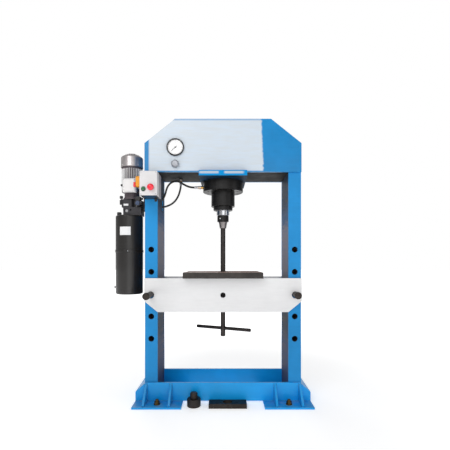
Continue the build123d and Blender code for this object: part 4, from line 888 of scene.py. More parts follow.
@cache
def ticks_tree():
    """Marks on an arc about +Z, each a thin bar that points at the centre."""
    tree = PatternTree("dial marks", Count=13, Arc_radius=0.04, Start=0.0, Sweep=4.7, Mark_length=5 * MM,
                       Mark_width=0.8 * MM, Mark_thickness=0.3 * MM)
    arc = tree.add("GeometryNodeCurveArc", {"mode": "RADIUS"}, Resolution=tree.take("Count"),
                   Radius=tree.take("Arc radius"), Start_Angle=tree.take("Start"), Sweep_Angle=tree.take("Sweep"))
    points = tree.add("GeometryNodeCurveToPoints", {"mode": "EVALUATED"}, Curve=arc.outputs["Curve"])
    mark = tree.add("GeometryNodeMeshCube", Size=tree.vector(
        tree.take("Mark length"), tree.take("Mark width"), tree.take("Mark thickness")))
    placed = tree.add("GeometryNodeInstanceOnPoints", Points=points.outputs["Points"], Instance=mark.outputs["Mesh"],
                      Rotation=facing_out(tree))
    return tree.end(placed.outputs[0])


def heads_at(points, axis, radius, height, material, sides=16, socket=0.55):
    """Screw heads at points, standing along an axis."""
    turn = axis_matrix((0, 0, 0), axis)
    mesh = bpy.data.meshes.new("places")
    mesh.from_pydata([turn.inverted() @ Vector(point) for point in points], [], [])
    grown = PatternTree.grow(screw_heads_tree(), material, mesh, Head_radius=radius, Head_height=height,
                             Sides=sides, Socket=socket)
    grown.transform(turn)
    return grown


def beads_along(lines, radius, material):
    """Weld beads along straight lines, each given by its two ends."""
    points = [point for line in lines for point in line]
    mesh = bpy.data.meshes.new("seams")
    mesh.from_pydata(points, [(2 * k, 2 * k + 1) for k in range(len(lines))], [])
    return PatternTree.grow(weld_tree(), material, mesh, Bead_radius=radius, Pitch=0.75 * radius)


# ------------------------------------------------------------------ stage
EYE_LENS = 28.9
EYE_SHIFT = (1 / 225, 37 / 450)
LAMP_AIM = Vector((0.0, 0.0, 0.9))
LAMPS = (
    ("key light", (-1.6, -3.6, 3.4), 2.4, 2.4, 53.0), ("front light", (0.6, -4.6, 1.5), 3.2, 2.6, 31.0),
    ("right light", (3.4, -1.2, 2.4), 1.8, 2.4, 10.0), ("rear light", (-1.2, 3.6, 3.2), 2.6, 2.6, 40.0),
)
WORLD_STRENGTH = 0.38
FLOOR_RADIUS = 40.0
FLOOR_FADE = (0.9, 3.2)
FLOOR_GLOW = 0.42


def soft_lamp(name, place, width, height, power):
    """A large area lamp at a place, aimed at the middle of the press."""
    lamp = bpy.data.lights.new(name, "AREA")
    lamp.shape = "RECTANGLE"
    lamp.size = width
    lamp.size_y = height
    lamp.energy = power
    holder = added(name, lamp)
    holder.location = place
    holder.rotation_euler = (LAMP_AIM - Vector(place)).to_track_quat("-Z", "Y").to_euler()


def grey(value):
    """A neutral colour as linear light, with full alpha."""
    return (value, value, value, 1.0)


def white_world(strength):
    """White to the camera, softer light for everything else."""
    world = bpy.data.worlds.new("studio")
    bpy.context.scene.world = world
    world.use_nodes = True
    tree = world.node_tree
    background = tree.nodes["Background"]
    background.inputs["Color"].default_value = grey(1.0)
    path = tree.nodes.new("ShaderNodeLightPath")
    link(tree, maths(tree, "MULTIPLY_ADD", path.outputs["Is Camera Ray"], 1.0 - strength, strength),
         background.inputs["Strength"])


class PRESS_OT_stage(bpy.types.Operator):
    """Sets the camera, the soft light and the pale floor"""

    bl_idname = "press.stage"
    bl_label = "Stage"

    def execute(self, context):
        scene = context.scene
        sizes = scene.press_sizes
        scene.view_settings.view_transform = "Standard"
        camera = bpy.data.cameras.new("camera")
        camera.lens = EYE_LENS
        camera.sensor_width = 36.0
        camera.shift_x, camera.shift_y = EYE_SHIFT
        eye = added("camera", camera)
        eye.location = (0.0, -sizes.eye_distance, sizes.eye_height)
        eye.rotation_euler = (radians(90), 0.0, 0.0)
        scene.camera = eye
        white_world(WORLD_STRENGTH)
        for lamp in LAMPS:
            soft_lamp(*lamp)
        material, tree, shader = new_material("floor", 0.75)
        position = position_in(tree)
        tone = ramp(tree, noise(tree, position, 0.6, 3.0), 0.3, 0.7)
        link(tree, mixed(tree, tone, grey(0.93), grey(0.96)), shader.inputs["Base Color"])
        span = add_node(tree, "ShaderNodeVectorMath", {"operation": "LENGTH"}, Vector=position)
        away = ramp(tree, span.outputs["Value"], *FLOOR_FADE)
        link(tree, mixed(tree, away, grey(FLOOR_GLOW), grey(1.0)), shader.inputs["Emission Color"])
        shader.inputs["Emission Strength"].default_value = 1.0
        bm = bmesh.new()
        bmesh.ops.create_circle(bm, cap_ends=True, segments=96, radius=FLOOR_RADIUS)
        mesh = from_bmesh(bm, "floor")
        mesh.materials.append(material)
        floor = added("floor", mesh)
        return {"FINISHED"}


# ------------------------------------------------------------------ hoses
PRESSURE_ROUTE = (
    (-0.512, 0.060, 1.273), (-0.455, 0.060, 1.273), (-0.398, 0.062, 1.280), (-0.347, 0.064, 1.304),
    (-0.313, 0.064, 1.348), (-0.297, 0.062, 1.400), (-0.293, 0.060, 1.432), (-0.293, 0.060, 1.456),
)
RETURN_ROUTE = (
    (-0.512, 0.060, 1.297), (-0.464, 0.060, 1.297), (-0.424, 0.059, 1.320), (-0.402, 0.058, 1.362),
    (-0.393, 0.057, 1.402), (-0.378, 0.056, 1.432), (-0.354, 0.052, 1.450), (-0.327, 0.046, 1.456),
    (-0.299, 0.038, 1.449), (-0.272, 0.028, 1.430), (-0.240, 0.015, 1.411), (-0.205, 0.000, 1.401),
    (-0.165, 0.000, 1.401),
)

HOSES = (("pressure_hose", PRESSURE_ROUTE, "stiff", 0.335), ("return_hose", RETURN_ROUTE, "medium", 0.453))


def ferrule(end, along, radius):
    """Crimped sleeve over a hose's end, with its pressed grooves."""
    bore = radius * 0.7
    sleeve = [(bore, 0.0), (radius * 1.28, 0.0), (radius * 1.42, 0.002)]
    for groove in range(4):
        place = 0.006 + groove * 0.0048
        sleeve += [(radius * 1.42, place), (radius * 1.26, place + 0.0012), (radius * 1.26, place + 0.0024),
                   (radius * 1.42, place + 0.0036)]
    sleeve += [(radius * 1.36, 0.028), (bore, 0.028), (bore, 0.0)]
    return turned(sleeve, end, along, ease=0.0, segments=28)


class PRESS_OT_hoses(bpy.types.Operator):
    """Lays the two hydraulic hoses and fits their crimped ends"""

    bl_idname = "press.hoses"
    bl_label = "Hoses"

    def execute(self, context):
        diameter = context.scene.press_sizes.hose_diameter
        radius = diameter / 2
        for name, route, stiffness, length in HOSES:
            curve = bpy.data.curves.new(name + "_line", "CURVE")
            curve.dimensions = "3D"
            spline = curve.splines.new("NURBS")
            spline.points.add(len(route) - 1)
            for point, place in zip(spline.points, route):
                point.co = (*place, 1.0)
            spline.order_u = 3
            spline.use_endpoint_u = True
            curve.resolution_u = 10
            curve.bevel_depth = radius
            curve.bevel_resolution = 6
            curve.use_fill_caps = True
            curve.materials.append(MATERIALS["hose rubber"])
            hose = added(name + "_run", curve)
            ends = []
            for end, inner in ((route[0], route[1]), (route[-1], route[-2])):
                along = (Vector(inner) - Vector(end)).normalized()
                ends.append(painted_mesh(ferrule(end, along, radius), "pressed steel"))
            sleeves = settle(name + "_ferrules", joined(*ends), None, "frame", "plug_steel")
            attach(hose, "frame")
            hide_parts(name)
        return {"FINISHED"}


# ------------------------------------------------------------------ frame
class PRESS_OT_crown(bpy.types.Operator):
    """Finishes the crown's plates and the cylinder's mount plate"""

    bl_idname = "press.crown"
    bl_label = "Crown"

    def execute(self, context):
        edge = context.scene.press_sizes.plate_edge
        round_nodes("frame", (
            ("crown_front_plate", "crown front paint with painted shade and glare", "blue_paint", edge),
            ("crown_rear_plate", "blue paint", "blue_paint", edge),
            ("crown_top_plate", "blue paint", "blue_paint", edge / 2),
            # near-black bottom plate as painted shade under the crown
            ("crown_bottom_plate", "crown underside painted shade", "black_paint", edge / 2),
            ("cylinder_mount_plate", "mount plate paint", "blue_paint", edge),
        ))
        return {"FINISHED"}


class PRESS_OT_uprights(bpy.types.Operator):
    """Finishes the two rolled uprights"""

    bl_idname = "press.uprights"
    bl_label = "Uprights"

    def execute(self, context):
        edge = context.scene.press_sizes.plate_edge
        round_nodes("frame", (
            ("left_upright", "upright paint", "blue_paint", edge),
            ("right_upright", "upright paint", "blue_paint", edge),
            # dark brown pin tubes, as painted shade inside the pin holes
            ("pin_tubes", "hole shade steel", "dark_steel", edge / 4),
        ))
        return {"FINISHED"}


class PRESS_OT_base(bpy.types.Operator):
    """Finishes the base beams, feet, ribs and levelling screws"""

    bl_idname = "press.base"
    bl_label = "Base"

    def execute(self, context):
        edge = context.scene.press_sizes.plate_edge
        small = context.scene.press_sizes.small_edge
        round_nodes("frame", (
            # the base pieces take the frame's blue painted lighter, as painted light
            ("base_beams", "base paint with painted light", "blue_paint", edge), ("base_end_plates", "base paint with painted light", "blue_paint", edge),
            ("foot_plates", "base paint with painted light", "blue_paint", edge), ("foot_ribs", "base paint with painted light", "blue_paint", edge),
            ("levelling_screws", "yellow zinc", "yellow_zinc", small / 2),
            ("levelling_nuts", "yellow zinc", "yellow_zinc", small),
        ))
        return {"FINISHED"}


FOOT_THICKNESS = 12 * MM
WELD_INSET = 4 * MM


class PRESS_OT_welds(bpy.types.Operator):
    """Runs the fillet welds of the frame"""

    bl_idname = "press.welds"
    bl_label = "Welds"

    def execute(self, context):
        bead = context.scene.press_sizes.weld_radius
        foot_low, foot_high = corners("foot_plates")
        beam_low, beam_high = corners("base_beams")
        foot_top = foot_low.z + FOOT_THICKNESS
        inner = min(abs(vertex.co.x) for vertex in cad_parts["foot_plates"].data.vertices)
        lines = []
        for side in (-1, 1):
            start, end = side * (inner + WELD_INSET), side * (foot_high.x - WELD_INSET)
            lines += [((start, y, foot_top), (end, y, foot_top)) for y in (beam_low.y, beam_high.y)]
        lines += rib_lines(foot_top)
        settle("frame_welds", beads_along(lines, bead, "blue paint"), None, "frame", "blue_paint", weigh=False)
        return {"FINISHED"}


def rib_lines(foot_top):
    """Ends of the welds on both sides of each foot rib, at the foot and against the beam."""
    bm = node_copy("foot_ribs")
    lines = []
    seen = set()
    bm.faces.ensure_lookup_table()
    for face in bm.faces:
        if abs(face.normal.x) < 0.9:
            continue
        xs = face.verts[0].co.x
        ys = [vertex.co.y for vertex in face.verts]
        zs = [vertex.co.z for vertex in face.verts]
        far = max(ys, key=abs)
        near = min(ys, key=abs)
        key = (round(xs, 4), round(near, 4))
        if key in seen:
            continue
        seen.add(key)
        lines.append(((xs, near, foot_top), (xs, far, foot_top)))
        lines.append(((xs, near, foot_top), (xs, near, max(zs))))
    bm.free()
    return lines


# ------------------------------------------------------------------ cylinder and ram
class PRESS_OT_cylinder(bpy.types.Operator):
    """Finishes the hydraulic cylinder, its flange, gland, seals and screws"""

    bl_idname = "press.cylinder"
    bl_label = "Cylinder"

    def execute(self, context):
        edge = context.scene.press_sizes.plate_edge
        for node in ("cylinder_barrel", "cylinder_flange", "cylinder_gland"):
            rounded_node(node, "black paint", "frame", "black_paint", edge)
        for node, material in (("cylinder_screws", "dark steel"), ("gland_seal", "seal rubber"),
                               ("piston", "dark steel"), ("piston_seal", "seal rubber")):
            keep_node(node, material)
        low, high = corners("cylinder_gland")
        centre = (low + high) / 2
        radius = (high.x - low.x) / 2
        holes = [(centre.x + radius * cos(a) * 0.8, centre.y + radius * sin(a) * 0.8, low.z)
                 for a in around(6, pi / 6)]
        heads = heads_at(holes, (0, 0, -1), 5 * MM, 2.4 * MM, "dark steel", sides=6, socket=0.6)
        settle("gland_screws", heads, None, "frame", "dark_steel")
        return {"FINISHED"}


class PRESS_OT_ram(bpy.types.Operator):
    """Finishes the chromed ram, its collar and its nose"""

    bl_idname = "press.ram"
    bl_label = "Ram"

    def execute(self, context):
        edge = context.scene.press_sizes.plate_edge
        rounded_node("ram_rod", "hard chrome", "ram", "hard_chrome", edge)
        low, high = corners("ram_collar")
        radius = (high.x - low.x) / 2
        rounded_node("ram_collar", "black paint", "ram", "dark_steel", edge)
        rounded_node("ram_nose", "nose steel", "ram", "dark_steel", edge)
        screws = [Vector((radius * cos(a), radius * sin(a), low.z + 21 * MM)) for a in around(2, -pi / 2 - 0.5)]
        heads = [heads_at([place], (place.x, place.y, 0.0), 4 * MM, 1.2 * MM, "dark steel", sides=12)
                 for place in screws]
        settle("collar_grub_screws", joined(*heads), None, "ram", "dark_steel")
        return {"FINISHED"}


class PRESS_OT_lifting_rod(bpy.types.Operator):
    """Finishes the drilled rod and its cross bar"""

    bl_idname = "press.lifting_rod"
    bl_label = "Lifting rod"

    def execute(self, context):
        small = context.scene.press_sizes.small_edge
        rounded_node("lifting_rod", "dark rod steel", "rod", "dark_steel", small)
        rounded_node("tee_bar", "dark rod steel", "cross_bar", "dark_steel", 2 * small, steps=3)
        return {"FINISHED"}


# ------------------------------------------------------------------ bed
BED_SEAMS = (-0.1375, -0.1225, 0.1225, 0.1375)


class PRESS_OT_bed(bpy.types.Operator):
    """Finishes the bed, the table and the pins"""

    bl_idname = "press.bed"
    bl_label = "Bed"

    def execute(self, context):
        edge = context.scene.press_sizes.plate_edge
        for node in ("bed_front_plate", "bed_rear_plate", "bed_spacers"):
            rounded_node(node, "bed paint", "bed", "grey_paint", edge)
        rounded_node("press_table", "table steel", "table", "table_steel", edge)
        for node in ("left_pin", "right_pin"):
            rounded_node(node, "dark steel", node + "_body", "dark_steel", 1.6 * edge, steps=3)
        low, high = corners("bed_spacers")
        lines = [((x, y, low.z + 10 * MM), (x, y, high.z - 10 * MM)) for x in BED_SEAMS for y in (low.y, high.y)]
        settle("bed_welds", beads_along(lines, context.scene.press_sizes.weld_radius, "bed paint"), None, "bed",
               "grey_paint", weigh=False)
        return {"FINISHED"}


# ------------------------------------------------------------------ gauge
def facing_front(centre):
    """Places a flat pattern drawn in XY so that it faces the front, upright, at a centre."""
    turn = Matrix(((1, 0, 0, 0), (0, 0, -1, 0), (0, 1, 0, 0), (0, 0, 0, 1)))
    return Matrix.Translation(centre) @ turn


DIAL_START = radians(225)
DIAL_SWEEP = radians(-270)
DIAL_MARKS = ((61, 2.2 * MM, 0.35 * MM), (13, 4.5 * MM, 0.7 * MM))
DIAL_NUMBERS = 7


class PRESS_OT_gauge(bpy.types.Operator):
    """Builds the pressure gauge: bezel, dial with marks and numbers, needle, window and knob"""

    bl_idname = "press.gauge"
    bl_label = "Gauge"

    def execute(self, context):
        low, high = corners("gauge_case")
        x, z = (low.x + high.x) / 2, (low.z + high.z) / 2
        rim = low.y
        plate = corners("crown_front_plate")[0].y
        dial_y = corners("gauge_dial")[0].y
        glass_low, glass_high = corners("gauge_glass")
        window = (glass_high.x - glass_low.x) / 2
        bezel = (high.x - low.x) / 2
        front = (x, rim, z)
        back = high.y - rim
        collar = plate - rim
        case = [
            (0.0, back), (bezel * 0.84, back), (bezel * 0.84, collar), (bezel, collar), (bezel, 0.004),
            (bezel - 0.003, 0.0004), (window + 0.0016, 0.0), (window, 0.002), (window, dial_y - rim + 0.0004),
            (0.0, dial_y - rim + 0.0004),
        ]
        settle("gauge_housing", turned(case, front, (0, 1, 0), 1.2 * MM, 96), "black gloss plastic", "frame",
               "gauge_black", "gauge_case")
        keep_node("gauge_dial", "dial card")
        face = facing_front((x, dial_y - 0.0002, z))
        marks = []
        for count, length, width in DIAL_MARKS:
            marks.append(PatternTree.grow(
                ticks_tree(), "print grey", None, Count=count, Arc_radius=window * 0.86 - length / 2,
                Start=DIAL_START, Sweep=DIAL_SWEEP, Mark_length=length, Mark_width=width, Mark_thickness=0.3 * MM))
            marks[-1].transform(face)
        reach = window * 0.62
        for step in range(DIAL_NUMBERS):
            angle = DIAL_START + DIAL_SWEEP * step / (DIAL_NUMBERS - 1)
            spot = face @ Matrix.Translation((reach * cos(angle), reach * sin(angle), 0.0))
            marks.append(lettering(str(step * 10), 6.2 * MM, spot, "print grey"))
        settle("gauge_marks", joined(*marks), None, "frame", "dial_white", weigh=False)
        needle_piece(x, z)
        glass = [(0.0, 0.0), (window * 0.5, 0.0003), (window, 0.0012), (window, 0.0028), (0.0, 0.0026)]
        settle("gauge_window", turned(glass, (x, glass_low.y, z), (0, 1, 0), 0.0, 96), "gauge glass", "frame",
               "gauge_glass", "gauge_glass")
        gauge_knob()
        return {"FINISHED"}


def needle_piece(x, z):
    """Tapered needle with a hub, laid along the CAD needle's own direction."""
    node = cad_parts["gauge_needle"]
    low, high = corners("gauge_needle")
    tip = max((vertex.co for vertex in node.data.vertices), key=lambda co: (co.x - x) ** 2 + (co.z - z) ** 2)
    along = Vector((tip.x - x, 0.0, tip.z - z))
    reach = along.length
    along.normalize()
    across = Vector((along.z, 0.0, -along.x))
    front = low.y
    outline = [(-0.30, 0.0022), (0.0, 0.0019), (0.62, 0.0011), (1.0, 0.0003)]
    ring = [(a * reach, w) for a, w in outline] + [(a * reach, -w) for a, w in reversed(outline)]
    bm = bmesh.new()
    centre = Vector((x, 0.0, z))
    layers = []
    for y in (front, front + 0.0009):
        layers.append([bm.verts.new(centre + along * a + across * w + Vector((0, y, 0))) for a, w in ring])
    bm.faces.new(layers[0])
    bm.faces.new(layers[1])
    bridge(bm, *layers)
    hub = turned([(0.0, -0.0012), (0.0045, -0.0008), (0.0052, 0.0), (0.0052, 0.001), (0.0018, 0.001),
                  (0.0018, high.y - front), (0.0, high.y - front)], (x, front, z), (0, 1, 0), 0.3 * MM, 32)
    settle("needle", joined(as_mesh(bm), hub), "needle black", "needle", "gauge_black", "gauge_needle")


def gauge_knob():
    """Faceted valve knob: a hexagonal grip with a domed cap over its stem."""
    low, high = corners("gauge_knob")
    x, z = (low.x + high.x) / 2, (low.z + high.z) / 2
    front = low.y
    grip = rounded(prism(polygon(6, (high.z - low.z) / 2, (x, z), pi / 2), front + 0.006, front + 0.024), 3.0 * MM, 3)
    cap = turned([(0.0, 0.0), (0.017, 0.0), (0.021, 0.003), (0.021, 0.008), (0.0, 0.008)], (x, front, z), (0, 1, 0),
                 1.5 * MM, 48)
    stem = turned([(0.0, 0.02), (0.013, 0.02), (0.013, 0.0305), (0.008, 0.0305), (0.008, high.y - front),
                   (0.0, high.y - front)], (x, front, z), (0, 1, 0), 0.6 * MM, 32)
    whole = joined(painted_mesh(grip, "knob steel"), painted_mesh(cap, "knob steel"),
                   painted_mesh(stem, "machined steel"))
    settle("gauge_valve_knob", whole, None, "gauge_valve", "knob_grey", "gauge_knob")


# ------------------------------------------------------------------ control box
COVER_FRONT = -0.275
BOX_GLAND = (28 * MM, -0.178)


class PRESS_OT_control_box(bpy.types.Operator):
    """Builds the control box with its buttons, isolator, screws and cable gland"""

    bl_idname = "press.control_box"
    bl_label = "Control box"

    def execute(self, context):
        rounded_node("control_box", "housing plastic", "frame", "box_grey", 2.5 * MM, steps=3)
        rounded_node("control_box_cover", "cover plastic", "frame", "box_white", 3.5 * MM, steps=4)
        keep_node("contactor", "machined steel")
        low, high = corners("control_box_cover")
        rings = []
        for spot in (middle("start_button"), middle("stop_button")):
            rings.append(turned([(0.0117, 0.0), (0.0145, 0.0), (0.0145, 0.0052), (0.0117, 0.0052), (0.0117, 0.0)],
                                (spot.x, low.y - 1.2 * MM, spot.z), (0, 1, 0), 0.0, 48))
        settle("button_rings", joined(*rings), "black plastic", "frame", "gauge_black")
        inset = 9.5 * MM
        places = [(x, COVER_FRONT + 0.3 * MM, z) for x in (low.x + inset, high.x - inset)
                  for z in (low.z + inset, high.z - inset)]
        settle("cover_screws", heads_at(places, (0, -1, 0), 3.2 * MM, 1.6 * MM, "machined steel", sides=14),
               None, "frame", "plug_steel")
        push_button("start_button", "start", "green plastic", "button_green", False)
        push_button("stop_button", "stop", "red plastic", "button_red", True)
        rounded_node("isolator_handle", "red plastic", "isolator", "button_red", 1.5 * MM, steps=3)
        cable_gland((low.x + high.x) / 2 + BOX_GLAND[0], BOX_GLAND[1], low.z)
        return {"FINISHED"}


def push_button(node, body, material, finish, mushroom):
    """A push button: a flush cap, or a mushroom head on a neck."""
    low, high = corners(node)
    x, z = (low.x + high.x) / 2, (low.z + high.z) / 2
    radius = (high.x - low.x) / 2
    length = high.y - low.y
    if mushroom:
        profile = [(0.0, 0.0), (radius * 0.45, 0.0006), (radius * 0.8, 0.0028), (radius, 0.0065), (radius, 0.0115),
                   (radius * 0.86, 0.014), (0.0105, 0.014), (0.0105, length), (0.0, length)]
    else:
        profile = [(0.0, 0.0012), (radius * 0.72, 0.0009), (radius * 0.93, 0.0), (radius, 0.0008), (radius, length),
                   (0.0, length)]
    settle(body + "_cap", turned(profile, (x, low.y, z), (0, 1, 0), 1.0 * MM, 56), material, body, finish, node)


def cable_gland(x, y, z):
    """Gland under the box, with a blanking plug, as no lead is fitted."""
    nut = hexagon(10.5 * MM, -9 * MM, 0.0, (x, y, z))
    dome = turned([(0.0, -0.020), (0.0055, -0.020), (0.0085, -0.017), (0.0092, -0.009), (0.0, -0.009)], (x, y, z),
                  (0, 0, 1), 0.8 * MM, 32)
    settle("cable_gland", joined(nut, dome), "black plastic", "frame", "gauge_black")


# ------------------------------------------------------------------ power pack
class PRESS_OT_tank(bpy.types.Operator):
    """Builds the oil tank with its clamp band, blank label, filler cap and drain plug"""

    bl_idname = "press.tank"
    bl_label = "Oil tank"

    def execute(self, context):
        rounded_node("oil_tank", "tank paint", "frame", "black_paint", 1.2 * MM)
        label = bmesh.new()
        reach = TANK_RADIUS + 0.4 * MM
        first, last = LABEL_SPAN
        columns = []
        for step in range(LABEL_STEPS + 1):
            angle = first + (last - first) * step / LABEL_STEPS
            columns.append([label.verts.new((TANK_X + reach * cos(angle), reach * sin(angle), z))
                            for z in LABEL_HEIGHTS])
        for before, after in zip(columns, columns[1:]):
            label.faces.new((before[0], after[0], after[1], before[1]))
        mesh = evaluated(from_bmesh(label), ("SOLIDIFY", {"thickness": 0.8 * MM, "offset": -1.0}))
        settle("tank_label", mesh, "label card", "frame", "box_white")
        side = TANK_X + 12 * MM
        lug = block((TANK_X - 12 * MM, -0.103, LUG_Z - 8 * MM), (side, -0.0915, LUG_Z + 8 * MM), 1.2 * MM)
        bolt = heads_at([(side, -0.0975, LUG_Z)], (1, 0, 0), 4.5 * MM, 4 * MM, "machined steel", sides=6)
        settle("band_lug", joined(painted_mesh(lug, "tank paint"), bolt), None, "frame", "black_paint")
        filler()
        rounded_node("drain_plug", "machined steel", "frame", "plug_steel", 0.8 * MM)
        return {"FINISHED"}


TANK_X = middle("oil_tank").x
TANK_RADIUS = 0.090
LABEL_SPAN = (radians(-118), radians(-71))
LABEL_STEPS = 14
LABEL_HEIGHTS = (1.073, 1.128)
LUG_Z = 0.969
FILLER_HEIGHT = 20 * MM
RELIEF_HEIGHT = 18 * MM


def ribbed_cap(low, high, height, ribs, depth):
    """A knurled cap at the top of a box: a wavy rim with a plain domed top."""
    x, y = (low.x + high.x) / 2, (low.y + high.y) / 2
    radius = (high.x - low.x) / 2
    bm = bmesh.new()
    segments = ribs * 6
    rows = ((0.0, 0.94, 1.0), (0.08, 1.0, 1.0), (0.78, 1.0, 1.0), (0.93, 0.93, 0.5), (1.0, 0.76, 0.0))
    rings = []
    for along, share, wave in rows:
        ring = []
        for k in range(segments):
            angle = 2 * pi * k / segments
            r = radius * share - depth * wave * (0.5 + 0.5 * cos(ribs * angle))
            ring.append(bm.verts.new((x + r * cos(angle), y + r * sin(angle), high.z - height * (1 - along))))
        rings.append(ring)
    for lower, upper in zip(rings, rings[1:]):
        bridge(bm, lower, upper)
    bm.faces.new(rings[0])
    bm.faces.new(rings[-1])
    return as_mesh(bm)


def stem_below(node, height, radius):
    """The turned stem between a CAD node's foot and its cap."""
    low, high = corners(node)
    centre = (low + high) / 2
    return turned(rod(radius, high.z - height - low.z), (centre.x, centre.y, low.z), (0, 0, 1), 0.3 * MM, 24)


def filler():
    """Filler cap with its ribs."""
    low, high = corners("filler_cap")
    parts = [ribbed_cap(low, high, FILLER_HEIGHT, 14, 1.2 * MM)]
    if high.z - FILLER_HEIGHT > low.z + 0.1 * MM:
        parts.append(stem_below("filler_cap", FILLER_HEIGHT, 6 * MM))
    settle("tank_filler_cap", joined(*parts), "black plastic", "filler", "cap_black", "filler_cap")


class PRESS_OT_valves(bpy.types.Operator):
    """Builds the manifold, the pump adapter, the solenoid valve, the relief knob and the fittings"""

    bl_idname = "press.valves"
    bl_label = "Valves"

    def execute(self, context):
        round_nodes("frame", (
            ("manifold_block", "anodised block", "block_grey", 1.6 * MM),
            ("solenoid_valve", "anodised block", "block_grey", 1.2 * MM),
            ("gear_pump", "machined steel", "plug_steel", 1.0 * MM),
            ("pack_bracket", "black paint", "blue_paint", 1.6 * MM),
        ))
        fittings()
        low, high = corners("relief_knob")
        cap = ribbed_cap(low, high, RELIEF_HEIGHT, 12, 1.0 * MM)
        neck = stem_below("relief_knob", RELIEF_HEIGHT, 4.5 * MM)
        settle("relief_valve_knob", joined(painted_mesh(cap, "black plastic"), painted_mesh(neck, "machined steel")),
               None, "relief", "cap_black", "relief_knob")
        manifold_details()
        return {"FINISHED"}


def hex_plug(place, axis, across, height):
    """A hexagonal plug with a collar."""
    head = hexagon(across / 2 / cos(pi / 6), 2 * MM, height, place, axis)
    return joined(head, turned(rod(across * 0.62, 2 * MM), place, axis, 0.4 * MM, 28))


PLUG_FRONT = -0.042
SIDE_PLUGS = (-0.660, -0.617)
MAIN_PLUG = (-0.640, -0.048, 1.236)
TAG_CORNERS = ((-0.664, -0.0428, 1.272), (-0.632, -0.0415, 1.285))
COIL_CAP = (-0.5625, -0.0805, 1.285)
CONNECTOR_CORNERS = ((-0.580, -0.070, 1.303), (-0.545, -0.028, 1.330))
CONNECTOR_GLAND = (-0.545, -0.049, 1.3165)
BRACKET_BOLTS = tuple((-0.508, y, 1.252) for y in (-0.115, -0.060, 0.115))
HOSE_NUTS = (
    ((-0.530, 0.060, 1.273), (1, 0, 0), 0.010), ((-0.530, 0.060, 1.297), (1, 0, 0), 0.010),
    ((-0.293, 0.060, 1.459), (0, 0, 1), 0.009), ((-0.160, 0.0, 1.401), (1, 0, 0), 0.009),
)


def manifold_details():
    """Plugs, a blank tag, the coil's cap and plug, and the bracket's bolts."""
    plug_z = corners("manifold_block")[0].z + 36 * MM
    plugs = [hex_plug((x, PLUG_FRONT, plug_z), (0, -1, 0), 12 * MM, 6 * MM) for x in SIDE_PLUGS]
    plugs.append(hex_plug(MAIN_PLUG, (0, -1, 0), 16 * MM, 8 * MM))
    settle("manifold_plugs", joined(*plugs), "machined steel", "frame", "plug_steel")
    settle("manifold_tag", block(*TAG_CORNERS, 0.3 * MM), "label card", "frame", "box_white")
    cap = [(0.0, 0.0), (0.0125, 0.0), (0.0125, 0.003), (0.0145, 0.004), (0.0145, 0.0065), (0.0, 0.0065)]
    settle("coil_cap", turned(cap, COIL_CAP, (0, 1, 0), 0.6 * MM, 40), "coil blue", "frame", "block_grey")
    gland = [(0.0, 0.0), (0.0075, 0.0), (0.0075, 0.010), (0.006, 0.012), (0.0, 0.012)]
    connector = joined(block(*CONNECTOR_CORNERS, 3 * MM, 3), turned(gland, CONNECTOR_GLAND, (1, 0, 0), 0.6 * MM, 28))
    settle("coil_connector", connector, "black plastic", "frame", "gauge_black")
    bolts = heads_at(BRACKET_BOLTS, (-1, 0, 0), 7.5 * MM, 6 * MM, "yellow zinc", sides=6, socket=0.5)
    settle("bracket_bolts", bolts, None, "frame", "yellow_zinc")


def fittings():
    """Brass and plated fittings of the hoses: each CAD fitting with rounded edges, and hexagon nuts over them."""
    rounded_node("hose_fittings", "brass", "frame", "brass", 0.6 * MM)
    nuts = [hexagon(11.8 * MM, 0.0, height, place, axis, 0.7 * MM) for place, axis, height in HOSE_NUTS]
    settle("fitting_nuts", joined(*nuts), "pressed steel", "frame", "plug_steel")


# ------------------------------------------------------------------ motor
MOTOR_X = middle("fan_cover").x
BELL_TOP = 1.375
CORE_RADIUS = 0.0635
BELL_SCREW_RADIUS = 0.0515
SLOT_BANDS = (0.022, 0.034, 0.046, 0.058)
SLOT_PITCH = 15
SLOT_BRIDGE = 3
DOME_HEIGHT = 30 * MM


def fan_dome(low, high, radius, straight):
    """Open sheet of the fan cover with slots in its dome, before it gets its thickness."""
    dome = high.z - straight
    sphere = (radius ** 2 + dome ** 2) / (2 * dome)

    def dome_z(r):
        return high.z - sphere + sqrt(sphere ** 2 - r ** 2)

    segments = 120
    radii = (0.010, 0.016, 0.022, 0.028, 0.034, 0.040, 0.046, 0.052, 0.058, 0.064, 0.069)
    rows = [(radius, low.z), (radius + 0.0006, low.z + 0.001), (radius + 0.0006, low.z + 0.005),
            (radius - 0.0004, low.z + 0.0065), (radius - 0.0004, straight - 0.004),
            (radius - 0.0012, straight - 0.001),
            (radius - 0.0038, dome_z(radius - 0.0038) - 0.0002)]
    rows += [(r, dome_z(r)) for r in reversed(radii)]
    bm = bmesh.new()
    rings = [[bm.verts.new((MOTOR_X + r * cos(2 * pi * k / segments), r * sin(2 * pi * k / segments), z))
              for k in range(segments)] for r, z in rows]
    centre = bm.verts.new((MOTOR_X, 0.0, dome_z(0.0)))
    for lower, upper, row in zip(rings, rings[1:], rows[1:]):
        for k in range(segments):
            if row[0] not in SLOT_BANDS or k % SLOT_PITCH < SLOT_BRIDGE:
                after = (k + 1) % segments
                bm.faces.new((lower[k], lower[after], upper[after], upper[k]))
    for k in range(segments):
        bm.faces.new((rings[-1][k], rings[-1][(k + 1) % segments], centre))
    return as_mesh(bm)


